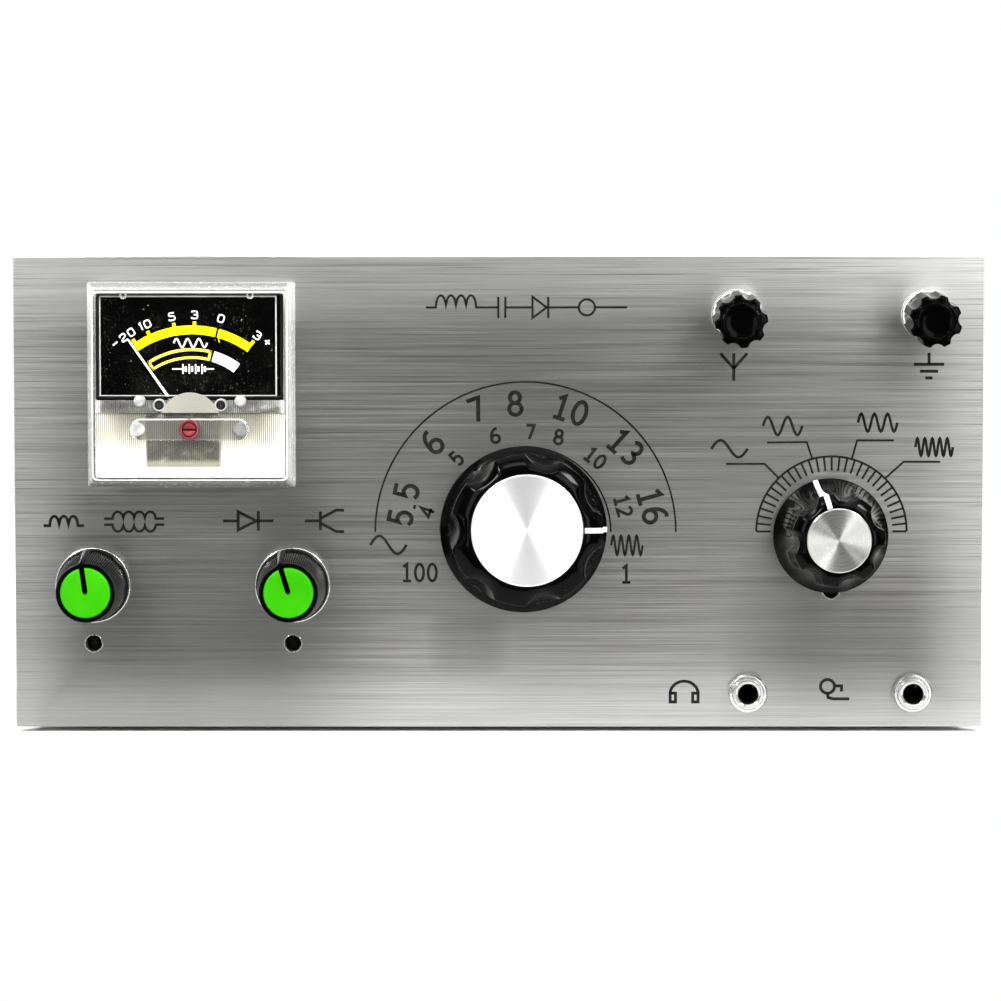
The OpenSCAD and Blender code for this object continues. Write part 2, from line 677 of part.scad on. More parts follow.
// points of each lead, x right, v up, h out of the panel
w_ant = [[47.2, 82.95, -16.2], [47.2, 82.95, -24], [42, 82, -38], [0, 81, -46], [-48, 79, -54], [-69, 66, -56], [-69, 42.6, -56]];
w_gnd = [[84.6, 82.95, -16.2], [84.6, 82.95, -26], [87, 72, -48], [88, 30, -70], [88, 10, -71], [88, 3.6, -71]];
w_tune = [[-34, 42.6, -56], [-34, 48, -54], [-30, 46, -40], [-23, 37, -28], [-19, 31, -24], [-15.2, 30, -24]];
w_band = [[58.1, 32, -18.8], [58, 31, -27], [50, 32, -46], [30, 44, -54], [0, 50, -56], [-30, 52, -57], [-44, 49, -56], [-44, 42.6, -56]];
w_coil = [[-86.5, 35.4, -18.8], [-87, 36, -28], [-86, 45, -44], [-76, 50, -56], [-72, 47, -56], [-72, 42.6, -56]];
w_det = [[-34.7, 23.2, -18.8], [-34, 20, -26], [-28, 9, -32], [-10, 7.5, -34], [12, 7.5, -38], [28, 9, -44], [33.2, 11.2, -46]];
w_m1 = [[-52.4, 70, -28.2], [-52.4, 70, -34], [-30, 67, -44], [0, 67, -52], [28, 60, -55], [43, 32, -54], [46, 18, -54], [46, 12.1, -54]];
w_m2 = [[-68.4, 70, -28.2], [-68.4, 70, -36], [-44, 70, -50], [0, 71, -60], [34, 62, -62], [49, 32, -60], [52, 18, -60], [52, 12.1, -60]];
w_hp = [[47.3, 8.05, -22.2], [47.3, 9, -27], [48, 15, -32], [49.5, 16, -36], [49.5, 12.1, -38]];
w_ep = [[80, 8.05, -22.2], [80, 10, -27], [76, 15, -32], [74, 16, -37], [74, 12.1, -39]];

function unit(a) = a / norm(a);
// corner cutting: one pass of rounding the polyline, ends kept
function smooth(p) = concat([p[0]], [for (i = [0 : len(p) - 2], t = [0.25, 0.75]) p[i] * (1 - t) + p[i + 1] * t], [p[len(p) - 1]]);
function tang(p) = [for (i = [0 : len(p) - 1]) unit((i < len(p) - 1 ? unit(p[i + 1] - p[i]) : [0, 0, 0]) + (i > 0 ? unit(p[i] - p[i - 1]) : [0, 0, 0]))];
function across(t, n, i = 0) = i >= len(t) ? [] : let (m = unit(n - (n * t[i]) * t[i])) concat([m], across(t, m, i + 1));
module wire(p0, r, sides = 8) {
    p = smooth(p0);
    t = tang(p);
    n = across(t, abs(t[0][0]) < 0.9 ? [1, 0, 0] : [0, 1, 0]);
    m = len(p);
    polyhedron(
        points = [for (i = [0 : m - 1], k = [0 : sides - 1]) p[i] + r * (cos(360 * k / sides) * n[i] + sin(360 * k / sides) * cross(t[i], n[i]))],
        faces = concat([[for (k = [0 : sides - 1]) k]], [[for (k = [0 : sides - 1]) (m - 1) * sides + sides - 1 - k]],
            [for (i = [0 : m - 2], k = [0 : sides - 1]) [i * sides + k, (i + 1) * sides + k, (i + 1) * sides + (k + 1) % sides]],
            [for (i = [0 : m - 2], k = [0 : sides - 1]) [i * sides + k, (i + 1) * sides + (k + 1) % sides, i * sides + (k + 1) % sides]]));
}
module wiring() {
    color("crimson") pf() for (w = [w_ant, w_gnd, w_tune, w_band, w_coil, w_det, w_m1, w_m2, w_hp, w_ep]) wire(w, 0.6);
}

front_panel();
chassis();
cover();
cover_screws();
feet();
meter_cover();
meter_case();
meter_dial_plate();
meter_mask();
meter_hub_cover();
meter_magnet();
meter_terminals();
meter_nuts();
meter_pointer();
zero_adjuster();
capacitor_frame();
capacitor_stator();
capacitor_insulators();
capacitor_rotor();
bushing_nuts();
tuning_knob();
tuning_knob_disc();
tuning_set_screw();
band_switch_body();
band_switch_shaft();
band_knob();
band_knob_disc();
coil_switch_body();
coil_switch_shaft();
coil_switch_knob();
coil_switch_cap();
detector_switch_body();
detector_switch_shaft();
detector_switch_knob();
detector_switch_cap();
switch_wafers();
switch_terminals();
antenna_post_stud();
ground_post_stud();
post_insulators();
post_nuts();
antenna_post_cap();
antenna_post_washer();
ground_post_cap();
ground_post_washer();
headphone_jack();
earphone_jack();
jack_nuts();
jack_contacts();
coil_former();
antenna_winding();
detector_winding();
circuit_board();
board_standoffs();
germanium_diode();
detector_transistor();
resistors();
disc_capacitors();
wiring();
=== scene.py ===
"""Looks of a table-top crystal radio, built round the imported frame. Metres, Z up, the panel faces -Y.
Helper functions take panel coordinates in millimetres: x to the right, v up from the table, h out from the panel's face."""
import bmesh
import bpy
import json
import math
import random
from mathutils import Matrix, Vector

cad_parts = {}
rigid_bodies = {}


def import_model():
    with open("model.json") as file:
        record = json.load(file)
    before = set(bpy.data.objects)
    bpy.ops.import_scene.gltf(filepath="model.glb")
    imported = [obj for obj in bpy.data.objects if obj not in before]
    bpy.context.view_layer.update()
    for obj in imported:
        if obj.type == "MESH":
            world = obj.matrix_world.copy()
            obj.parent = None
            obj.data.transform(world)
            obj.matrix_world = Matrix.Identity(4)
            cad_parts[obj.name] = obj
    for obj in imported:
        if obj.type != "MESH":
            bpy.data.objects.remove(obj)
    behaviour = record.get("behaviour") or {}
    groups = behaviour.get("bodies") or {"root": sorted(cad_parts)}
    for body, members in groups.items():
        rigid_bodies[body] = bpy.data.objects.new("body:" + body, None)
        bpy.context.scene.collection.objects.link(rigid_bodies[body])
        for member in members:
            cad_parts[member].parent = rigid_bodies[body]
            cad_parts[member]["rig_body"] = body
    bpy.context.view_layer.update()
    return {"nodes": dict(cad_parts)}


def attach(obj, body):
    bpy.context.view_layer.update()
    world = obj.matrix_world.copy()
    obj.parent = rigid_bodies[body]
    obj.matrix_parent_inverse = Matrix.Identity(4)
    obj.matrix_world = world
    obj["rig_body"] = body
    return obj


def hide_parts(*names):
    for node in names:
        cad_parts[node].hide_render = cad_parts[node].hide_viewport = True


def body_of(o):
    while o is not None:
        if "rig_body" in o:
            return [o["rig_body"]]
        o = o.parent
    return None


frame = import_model()
N = frame["nodes"]
scene = bpy.context.scene
rnd = random.Random(7)
pi = math.pi

FY = -27.0
TUNE = (5.3, 40.45)
BAND = (66.0, 39.9)
SMALL = {"coil": (-80.4, 29.35), "detector": (-40.8, 29.35)}
POSTS = {"antenna": (47.2, 82.95), "ground": (84.6, 82.95)}
JACKS = {"headphone": (49.5, 8.05), "earphone": (82.2, 8.05)}
MX, MV = -60.4, 69.4            # middle of the meter
PX, PV = MX - 0.05, MV - 8.7    # pivot of its pointer
VC = 47.75                      # middle of the panel


def P(x, v, h):
    return Vector((x, FY - h, v)) * 0.001


# ---------------------------------------------------------------- camera, world, lights, floor

cam = bpy.data.objects.new("camera", bpy.data.cameras.new("camera"))
scene.collection.objects.link(cam)
yaw, pitch, roll = (math.radians(a) for a in (-0.330, 4.162, -0.044))
fwd = Vector((math.sin(yaw) * math.cos(pitch), math.cos(yaw) * math.cos(pitch), -math.sin(pitch)))
right = fwd.cross(Vector((0, 0, 1))).normalized()
up = right.cross(fwd)
right, up = right * math.cos(roll) + up * math.sin(roll), up * math.cos(roll) - right * math.sin(roll)
m = Matrix((right, up, -fwd)).transposed().to_4x4()
m.translation = Vector((0.0062, -1.027, 0.11885))
cam.matrix_world = m
cam.data.sensor_width = 36
cam.data.lens = 36 * 5058.1 / 1001
cam.data.clip_start, cam.data.clip_end = 0.05, 50
scene.camera = cam

scene.view_settings.view_transform = "Standard"
scene.view_settings.look = "None"


def link(nt, a, b):
    nt.links.new(a, b)


world = bpy.data.worlds.new("studio")
scene.world = world
world.use_nodes = True
nt = world.node_tree
nt.nodes.clear()
out = nt.nodes.new("ShaderNodeOutputWorld")
seen = nt.nodes.new("ShaderNodeBackground")
seen.inputs["Color"].default_value = (1, 1, 1, 1)
seen.inputs["Strength"].default_value = 1.0
room = nt.nodes.new("ShaderNodeBackground")
room.inputs["Strength"].default_value = 1.0
geo = nt.nodes.new("ShaderNodeTexCoord")
sep = nt.nodes.new("ShaderNodeSeparateXYZ")
link(nt, geo.outputs["Generated"], sep.inputs[0])
sky = nt.nodes.new("ShaderNodeValToRGB")
sky.color_ramp.elements[0].position = 0.0
sky.color_ramp.elements[0].color = (0.022, 0.022, 0.0215, 1)
sky.color_ramp.elements[1].position = 1.0
sky.color_ramp.elements[1].color = (0.50, 0.51, 0.52, 1)
e = sky.color_ramp.elements.new(0.35)
e.color = (0.10, 0.10, 0.10, 1)
link(nt, sep.outputs["Z"], sky.inputs["Fac"])
link(nt, sky.outputs["Color"], room.inputs["Color"])
side = nt.nodes.new("ShaderNodeMapRange")
for k, v in (("From Min", -1.0), ("From Max", 1.0), ("To Min", 0.8), ("To Max", 1.5)):
    side.inputs[k].default_value = v
link(nt, sep.outputs["X"], side.inputs["Value"])
link(nt, side.outputs[0], room.inputs["Strength"])
path = nt.nodes.new("ShaderNodeLightPath")
mix = nt.nodes.new("ShaderNodeMixShader")
link(nt, path.outputs["Is Camera Ray"], mix.inputs["Fac"])
link(nt, room.outputs[0], mix.inputs[1])
link(nt, seen.outputs[0], mix.inputs[2])
link(nt, mix.outputs[0], out.inputs["Surface"])


def softbox(name, place, aim, w, h, power, tint=(1, 1, 1)):
    d = bpy.data.lights.new(name, "AREA")
    d.shape, d.size, d.size_y = "RECTANGLE", w, h
    d.energy, d.color = power, tint
    o = bpy.data.objects.new(name, d)
    scene.collection.objects.link(o)
    o.location = place
    o.rotation_mode = "QUATERNION"
    o.rotation_quaternion = (Vector(aim) - Vector(place)).to_track_quat("-Z", "Y")
    return o


softbox("light_over", (0.0, 0.05, 1.0), (0, 0, 0), 1.3, 1.0, 8)
softbox("light_front_left", (-0.50, -0.88, 0.24), (0, -0.03, 0.05), 0.34, 0.80, 4.3)
softbox("light_front_right", (0.44, -0.88, 0.24), (0, -0.03, 0.05), 0.34, 0.80, 5.4)
softbox("light_side_left", (-1.0, -0.25, 0.25), (0, -0.03, 0.05), 0.4, 0.5, 0.6)
softbox("light_side_right", (1.0, -0.25, 0.25), (0, -0.03, 0.05), 0.4, 0.5, 0.6)
softbox("light_high_left", (-0.50, -0.52, 0.60), (0, -0.03, 0.05), 0.17, 0.18, 7.0)
softbox("light_high_right", (0.52, -0.52, 0.60), (0, -0.03, 0.05), 0.17, 0.18, 7.0)
softbox("light_high_mid", (0.0, -0.55, 0.74), (0, -0.03, 0.05), 0.55, 0.14, 2.4)
softbox("light_back", (0.0, 1.1, 0.7), (0, 0, 0.05), 0.9, 0.5, 2.2)

# ---------------------------------------------------------------- materials


class Mat:
    """A Principled material with helpers that add procedural detail. Coordinates are the object's own, in metres."""

    def __init__(self, name, **consts):
        self.m = bpy.data.materials.new(name)
        self.m.use_nodes = True
        self.nt = self.m.node_tree
        self.b = self.nt.nodes["Principled BSDF"]
        self.coord = self.nt.nodes.new("ShaderNodeTexCoord").outputs["Object"]
        for k, v in consts.items():
            s = self.b.inputs[{"Spec": "Specular IOR Level"}.get(k, k.replace("_", " "))]
            s.default_value = (*v, 1) if isinstance(v, tuple) and len(v) == 3 and s.type == "RGBA" else v

    def map(self, scale=(1, 1, 1), rot=(0, 0, 0), loc=(0, 0, 0)):
        n = self.nt.nodes.new("ShaderNodeMapping")
        n.inputs["Scale"].default_value = scale
        n.inputs["Rotation"].default_value = rot
        n.inputs["Location"].default_value = loc
        link(self.nt, self.coord, n.inputs["Vector"])
        return n.outputs[0]

    def noise(self, scale, detail=4, rough=0.55, rot=(0, 0, 0), loc=(0, 0, 0), distort=0.0):
        n = self.nt.nodes.new("ShaderNodeTexNoise")
        n.inputs["Scale"].default_value = 1
        n.inputs["Detail"].default_value = detail
        n.inputs["Roughness"].default_value = rough
        n.inputs["Distortion"].default_value = distort
        link(self.nt, self.map(scale if isinstance(scale, tuple) else (scale,) * 3, rot, loc), n.inputs["Vector"])
        return n.outputs["Fac"]

    def cells(self, scale, feature="F1", out="Distance", rand=1.0):
        n = self.nt.nodes.new("ShaderNodeTexVoronoi")
        n.feature = feature
        n.inputs["Scale"].default_value = 1
        n.inputs["Randomness"].default_value = rand
        link(self.nt, self.map(scale if isinstance(scale, tuple) else (scale,) * 3), n.inputs["Vector"])
        return n.outputs[out]

    def math(self, op, a, b=0.0, clamp=False):
        n = self.nt.nodes.new("ShaderNodeMath")
        n.operation, n.use_clamp = op, clamp
        for i, x in enumerate((a, b)):
            if isinstance(x, (int, float)):
                n.inputs[i].default_value = x
            else:
                link(self.nt, x, n.inputs[i])
        return n.outputs[0]

    def span(self, x, a0, a1, b0, b1, smooth=False):
        n = self.nt.nodes.new("ShaderNodeMapRange")
        n.interpolation_type = "SMOOTHSTEP" if smooth else "LINEAR"
        for k, v in (("From Min", a0), ("From Max", a1), ("To Min", b0), ("To Max", b1)):
            n.inputs[k].default_value = v
        link(self.nt, x, n.inputs["Value"])
        return n.outputs[0]

    def blend(self, fac, a, b, kind="MIX"):
        n = self.nt.nodes.new("ShaderNodeMix")
        n.data_type, n.blend_type = "RGBA", kind
        for sock, x in ((n.inputs["Factor"], fac), (n.inputs[6], a), (n.inputs[7], b)):
            if isinstance(x, tuple):
                sock.default_value = (*x, 1)
            elif isinstance(x, (int, float)):
                sock.default_value = x
            else:
                link(self.nt, x, sock)
        return n.outputs[2]

    def ramp(self, x, stops, mode="LINEAR"):
        n = self.nt.nodes.new("ShaderNodeValToRGB")
        r = n.color_ramp
        r.interpolation = mode
        r.elements[0].position, r.elements[1].position = stops[0][0], stops[-1][0]
        r.elements[0].color, r.elements[1].color = (*stops[0][1], 1), (*stops[-1][1], 1)
        for p, c in stops[1:-1]:
            r.elements.new(p).color = (*c, 1)
        link(self.nt, x, n.inputs["Fac"])
        return n.outputs["Color"]

    def axis(self, k):
        n = self.nt.nodes.new("ShaderNodeSeparateXYZ")
        link(self.nt, self.coord, n.inputs[0])
        return n.outputs[k]

    def radius(self, x, v):
        """Distance from the line along y through the panel point x, v, in metres."""
        a = self.math("SUBTRACT", self.axis("X"), x / 1000)
        b = self.math("SUBTRACT", self.axis("Z"), v / 1000)
        return self.math("SQRT", self.math("ADD", self.math("MULTIPLY", a, a), self.math("MULTIPLY", b, b)))

    def color(self, x):
        link(self.nt, x, self.b.inputs["Base Color"])

    def rough(self, x):
        link(self.nt, x, self.b.inputs["Roughness"])

    def bump(self, x, strength=0.3, dist=0.00005):
        n = self.nt.nodes.new("ShaderNodeBump")
        n.inputs["Strength"].default_value = strength
        n.inputs["Distance"].default_value = dist
        link(self.nt, x, n.inputs["Height"])
        link(self.nt, n.outputs[0], self.b.inputs["Normal"])


def moulded(name, c, r, vary=0.25, scale=180, fine=2500, bump=0.12, dist=0.00003, specks=0.0, gloss=0.22, **consts):
    """Moulded or painted surface: mottled colour, uneven gloss, fine texture, and a few dust specks."""
    M = Mat(name, **consts)
    n = M.noise(scale, 4)
    dark = tuple(x * (1 - vary) for x in c)
    light = tuple(min(1, x * (1 + vary)) for x in c)
    col = M.ramp(n, [(0.3, dark), (0.7, light)])
    if specks:
        d = M.cells(1400)
        mask = M.math("MULTIPLY", M.math("LESS_THAN", d, 0.10), M.math("GREATER_THAN", M.noise(420, 2, loc=(3, 1, 2)), 0.60))
        col = M.blend(M.math("MULTIPLY", mask, specks), col, (0.55, 0.55, 0.52))
    M.color(col)
    M.rough(M.span(M.noise(scale * 1.7, 3, loc=(5, 2, 9)), 0.3, 0.7, r * (1 - gloss), min(1, r * (1 + gloss))))
    M.bump(M.noise(fine, 3), bump, dist)
    return M.m


def turned(name, c, r, x, v, ring=2600, aniso=0.0, bump=0.25, vary=0.12, tangent=False, gloss=0.2, **consts):
    """Metal turned on a lathe about the line through x, v: fine rings."""
    M = Mat(name, Metallic=1.0, **consts)
    rad = M.radius(x, v)
    n = M.nt.nodes.new("ShaderNodeTexNoise")
    n.noise_dimensions = "1D"
    n.inputs["Scale"].default_value = ring
    n.inputs["Detail"].default_value = 3
    link(M.nt, rad, n.inputs["W"])
    rings = n.outputs["Fac"]
    big = M.noise(700, 3)
    col = M.ramp(M.math("ADD", M.math("MULTIPLY", rings, 0.7), M.math("MULTIPLY", big, 0.3)),
                 [(0.3, tuple(k * (1 - vary) for k in c)), (0.7, tuple(min(1, k * (1 + vary)) for k in c))])
    M.color(col)
    M.rough(M.span(rings, 0.3, 0.7, r * (1 - gloss), r * (1 + gloss)))
    M.bump(rings, bump, 0.00001)
    if aniso:
        M.b.inputs["Anisotropic"].default_value = aniso
        if tangent:
            t = M.nt.nodes.new("ShaderNodeTangent")
            t.direction_type, t.axis = "RADIAL", "Y"
            link(M.nt, t.outputs[0], M.b.inputs["Tangent"])
            M.b.inputs["Anisotropic Rotation"].default_value = 0.25
    return M.m


def rolled(name, c, r, along="X", vary=0.15, bump=0.2, metal=1.0, aniso=0.3, **consts):
    """Plain metal with a faint rolling grain along one axis."""
    M = Mat(name, Metallic=metal, Anisotropic=aniso, **consts)
    s = {"X": (30, 900, 1500), "Y": (900, 30, 1500), "Z": (900, 900, 30)}[along]
    n = M.noise(s, 5)
    big = M.noise(60, 3)
    M.color(M.ramp(M.math("ADD", M.math("MULTIPLY", n, 0.6), M.math("MULTIPLY", big, 0.4)),
                   [(0.35, tuple(k * (1 - vary) for k in c)), (0.65, tuple(min(1, k * (1 + vary)) for k in c))]))
    M.rough(M.span(n, 0.3, 0.7, r * 0.75, r * 1.25))
    M.bump(n, bump, 0.00002)
    return M.m


def brushed_panel():
    """Horizontally brushed sheet: short fine streaks of many widths, broad bands, and painted reflections: paler edges,
    a paler top, darker patches low on both sides and below the main knob.
    """
    M = Mat("brushed_panel", Metallic=1.0, Anisotropic=0.6, Anisotropic_Rotation=0.0)
    a = M.noise((20, 5, 4600), 2, 0.5)
    b = M.noise((45, 5, 7600), 2, 0.5, loc=(11, 0, 3))
    c = M.noise((8, 5, 1300), 4, 0.62, loc=(2, 0, 8))
    d = M.noise((9, 5, 24), 3, 0.5, loc=(6, 0, 2))
    s = M.math("ADD", M.math("MULTIPLY", a, 0.40), M.math("ADD", M.math("MULTIPLY", b, 0.32), M.math("ADD", M.math("MULTIPLY", c, 0.17), M.math("MULTIPLY", d, 0.11))))
    col = M.ramp(s, [(0.38, (0.32, 0.32, 0.311)), (0.47, (0.405, 0.405, 0.393)), (0.53, (0.45, 0.45, 0.437)), (0.62, (0.54, 0.54, 0.525))])
    # thin dark lines along the grain, most near the edges
    n = M.noise((24, 5, 6400), 2, 0.5, loc=(21, 0, 5))
    # painted reflection: paler near the cut edges, most along the foot
    x = M.math("ABSOLUTE", M.axis("X"))
    z = M.axis("Z")
    side = M.math("MULTIPLY", M.span(x, 0.080, 0.0959, 0, 1, True), M.span(z, 0.0, 0.045, 0.50, 1.0, True))
    edge = M.math("MAXIMUM", side, M.math("MAXIMUM", M.math("MULTIPLY", M.span(z, 0.0800, 0.0940, 0, 1.0, True), M.span(x, 0.072, 0.090, 1, 0.5, True)), M.span(z, 0.0150, 0.0040, 0, 0.35, True)))
    lines = M.math("ADD", 0.10, M.math("MULTIPLY", edge, 0.52))
        # painted reflections: darker patches low on the left and low on the right, and a darker patch below the main
        # knob for its reflection
    left = M.math("MULTIPLY", M.span(M.axis("X"), -0.048, -0.016, 1, 0.25, True),
                  M.math("ADD", M.span(z, 0.052, 0.026, 0, 0.56, True), M.span(z, 0.027, 0.017, 0, 0.20, True)))
    right = M.math("MULTIPLY", M.span(M.axis("X"), 0.034, 0.064, 0, 1, True),
                   M.math("MULTIPLY", M.span(z, 0.046, 0.015, 0, 0.70, True), M.span(z, 0.001, 0.011, 0.55, 1, True)))
    knob_painted_reflection = M.math("MULTIPLY", M.span(M.math("ABSOLUTE", M.math("ADD", M.axis("X"), 0.006)), 0.003, 0.014, 0.40, 0, True),
                   M.math("MULTIPLY", M.span(z, 0.006, 0.015, 0, 1, True), M.span(z, 0.028, 0.020, 0, 1, True)))
    col = M.blend(M.math("MAXIMUM", M.math("MAXIMUM", left, right), knob_painted_reflection), col, (0.10, 0.10, 0.096))
    # painted reflection: the paler edges
    col = M.blend(M.math("MULTIPLY", edge, 0.50), col, (0.82, 0.82, 0.80))
    # painted highlight: paler along the top edge
    col = M.blend(M.math("MULTIPLY", M.span(M.math("ADD", z, M.math("MULTIPLY", M.span(d, 0.4, 0.6, -1, 1), 0.0012)), 0.0775, 0.0925, 0, 1, True), 0.92), col, (0.97, 0.97, 0.95))
    col = M.blend(M.math("MULTIPLY", M.span(n, 0.56, 0.64, 0, 1), lines), col, (0.16, 0.16, 0.155))
    M.color(col)
    M.rough(M.span(s, 0.38, 0.62, 0.30, 0.36))
    M.bump(s, 0.05, 0.00002)
    t = M.nt.nodes.new("ShaderNodeTangent")
    t.direction_type, t.axis = "RADIAL", "X"
    link(M.nt, t.outputs[0], M.b.inputs["Tangent"])
    return M.m


def clear(name, c=(0.97, 0.975, 0.965), r=0.03):
    M = Mat(name, Transmission_Weight=1.0, IOR=1.49, Base_Color=c, Spec=0.12)
    M.rough(M.span(M.noise(300, 3), 0.4, 0.75, r * 0.4, r * 2))
    M.bump(M.noise(900, 2), 0.02, 0.00001)
    return M.m


def print_ink(name, c, r=0.6, wear=0.25):
    """Screen-printed ink with small lighter patches where it is thin."""
    M = Mat(name, Spec=0.08)
    n = M.noise((500, 500, 1800), 4, 0.65)
    M.color(M.ramp(n, [(0.35, c), (0.72, tuple(min(1, k * (1 + wear) + wear * 0.12) for k in c))]))
    M.rough(M.span(n, 0.3, 0.7, r * 0.85, r * 1.1))
    M.bump(n, 0.1, 0.00001)
    return M.m


m_panel = brushed_panel()
m_ink = print_ink("panel_ink", (0.004, 0.004, 0.004), r=0.8, wear=0.10)
m_sheet = rolled("sheet_aluminium", (0.50, 0.50, 0.50), 0.40)
m_paint = moulded("cover_paint", (0.035, 0.038, 0.042), 0.58, vary=0.05, scale=60, fine=1700, bump=0.5, dist=0.00008, specks=0.1, gloss=0.03)
m_screw = moulded("black_screws", (0.02, 0.02, 0.022), 0.35, Metallic=0.6)
m_rubber = moulded("foot_rubber", (0.018, 0.018, 0.018), 0.8, fine=1200, bump=0.4, dist=0.00006)
m_clear = clear("clear_acrylic")


def frosted_walls_painted_light():
    """The tapered side walls of the meter cover: satin, with painted light and shade: palest at the foot and towards
    the front edge, a dark band just short of that edge, and the right-hand wall paler.
    """
    M = Mat("frosted_acrylic_painted_light", Transmission_Weight=0.4, IOR=1.49)
    n = M.noise((160, 160, 160), 3, 0.5)
    h = M.math("SUBTRACT", -0.0270, M.axis("Y"))
    # bands of painted light and shade from the foot to the front edge
    c = M.ramp(M.span(h, 0.0, 0.010, 0, 1), [(0.0, (0.48, 0.48, 0.47)), (0.10, (0.42, 0.42, 0.41)), (0.18, (0.17, 0.17, 0.165)), (0.38, (0.19, 0.19, 0.185)), (0.48, (0.38, 0.38, 0.37)), (0.78, (0.52, 0.52, 0.50)), (0.85, (0.05, 0.05, 0.05)), (0.92, (0.05, 0.05, 0.05)), (0.97, (0.7, 0.7, 0.68))])
    # painted light: the right-hand wall paler
    c = M.blend(M.math("MULTIPLY", M.span(M.axis("X"), -0.0418, -0.0414, 0, 1), 0.45), c, (0.85, 0.85, 0.83))
    M.color(M.blend(M.span(n, 0.3, 0.7, 0, 0.25), c, (0.30, 0.30, 0.29)))
    M.rough(M.span(M.noise(700, 3), 0.3, 0.7, 0.12, 0.3))
    M.bump(n, 0.05, 0.00002)
    return M.m


def painted_rim_highlight():
    """Painted highlight for the rounded edges of the clear moulding: a pale whitish colour standing in for the light
    they catch.
    """
    M = Mat("acrylic_edge_painted_highlight", Transmission_Weight=0.15, IOR=1.49)
    n = M.noise((350, 350, 350), 3, 0.55)
    M.color(M.ramp(n, [(0.3, (0.70, 0.70, 0.68)), (0.6, (0.97, 0.97, 0.95))]))
    M.rough(M.span(n, 0.3, 0.7, 0.1, 0.25))
    return M.m


m_rim_painted_highlight = painted_rim_highlight()
m_frost_painted_light = frosted_walls_painted_light()
m_ivory = moulded("ivory_plastic", (0.86, 0.83, 0.74), 0.4, vary=0.03)
m_hub = moulded("hub_grey", (0.20, 0.195, 0.168), 0.45, vary=0.06, Spec=0.3)
m_steel = rolled("pole_steel", (0.42, 0.42, 0.43), 0.35)
m_brass = rolled("brass_contacts", (0.80, 0.62, 0.28), 0.28)
m_white = moulded("pointer_white", (0.92, 0.92, 0.90), 0.4, vary=0.03)
m_vane = rolled("vane_aluminium", (0.78, 0.78, 0.79), 0.3)
m_ceramic = moulded("white_ceramic", (0.85, 0.84, 0.80), 0.3, vary=0.04)
m_bakelite = moulded("black_bakelite", (0.0006, 0.0006, 0.0006), 0.13, vary=0.3, scale=120, fine=900, bump=0.02, dist=0.00002, specks=0.12, Spec=0.055)
m_cap = moulded("black_cap_plastic", (0.0006, 0.0006, 0.0006), 0.13, vary=0.3, scale=150, fine=900, bump=0.02, dist=0.00002, specks=0.2, Spec=0.03)
m_knurl = moulded("black_knurled", (0.001, 0.001, 0.001), 0.16, vary=0.3, fine=2600, bump=0.1, Spec=0.055)
m_shaft = rolled("shaft_steel", (0.55, 0.55, 0.56), 0.25, along="Y")
m_zinc = rolled("zinc_plate", (0.62, 0.62, 0.60), 0.3)
m_phenolic = moulded("phenolic", (0.24, 0.12, 0.05), 0.45, vary=0.25)
m_nylon = moulded("black_nylon", (0.004, 0.004, 0.004), 0.5, Spec=0.1)
m_copper = rolled("copper_enamel", (0.72, 0.26, 0.10), 0.25, vary=0.25)
m_board = moulded("board_green", (0.03, 0.16, 0.06), 0.3, vary=0.3)
m_wnylon = moulded("white_nylon", (0.82, 0.82, 0.78), 0.4, vary=0.04)
m_glass = clear("diode_glass", (0.95, 0.85, 0.6), 0.05)
m_trans = moulded("transistor_black", (0.02, 0.02, 0.02), 0.5)
m_resist = moulded("resistor_body", (0.55, 0.42, 0.26), 0.35, vary=0.1)
m_disc = moulded("disc_ceramic", (0.62, 0.30, 0.08), 0.4, vary=0.15)
m_wire = moulded("wire_red", (0.42, 0.02, 0.02), 0.35, vary=0.1)
m_dark = moulded("window_black", (0.004, 0.004, 0.004), 0.35, vary=0.3, specks=0.3, Spec=0.15)


def green_cap():
    M = Mat("green_cap", Spec=0.08)
    n = M.noise(120, 3)
    M.color(M.ramp(n, [(0.3, (0.020, 0.255, 0.0005)), (0.7, (0.030, 0.31, 0.001))]))
    M.rough(M.span(M.noise(300, 3), 0.3, 0.7, 0.30, 0.42))
    M.bump(M.noise(2600, 2), 0.08, 0.00002)
    return M.m


m_green = green_cap()


def dial_black():
    """Matt black dial with grey haze and fine dust on it."""
    M = Mat("dial_black", Spec=0.0)
    haze = M.span(M.noise(95, 3, loc=(1, 0, 6)), 0.48, 0.74, 0, 1, True)
    col = M.blend(haze, (0.0003, 0.0003, 0.0003), (0.0035, 0.0035, 0.003))
    dust = M.math("MULTIPLY", M.math("LESS_THAN", M.cells(1750), 0.16), M.span(M.noise(120, 3, loc=(1, 0, 6)), 0.43, 0.62, 0, 1, True))
    col = M.blend(M.math("MULTIPLY", dust, 0.7), col, (0.13, 0.14, 0.115))
    big = M.math("MULTIPLY", M.math("LESS_THAN", M.cells(900), 0.07), M.math("GREATER_THAN", M.noise(300, 2, loc=(7, 7, 7)), 0.50))
    col = M.blend(M.math("MULTIPLY", big, 0.8), col, (0.55, 0.55, 0.53))
    M.color(col)
    M.rough(M.span(haze, 0, 1, 0.5, 0.65))
    M.bump(M.noise(3000, 2), 0.1, 0.00002)
    return M.m


m_dial = dial_black()


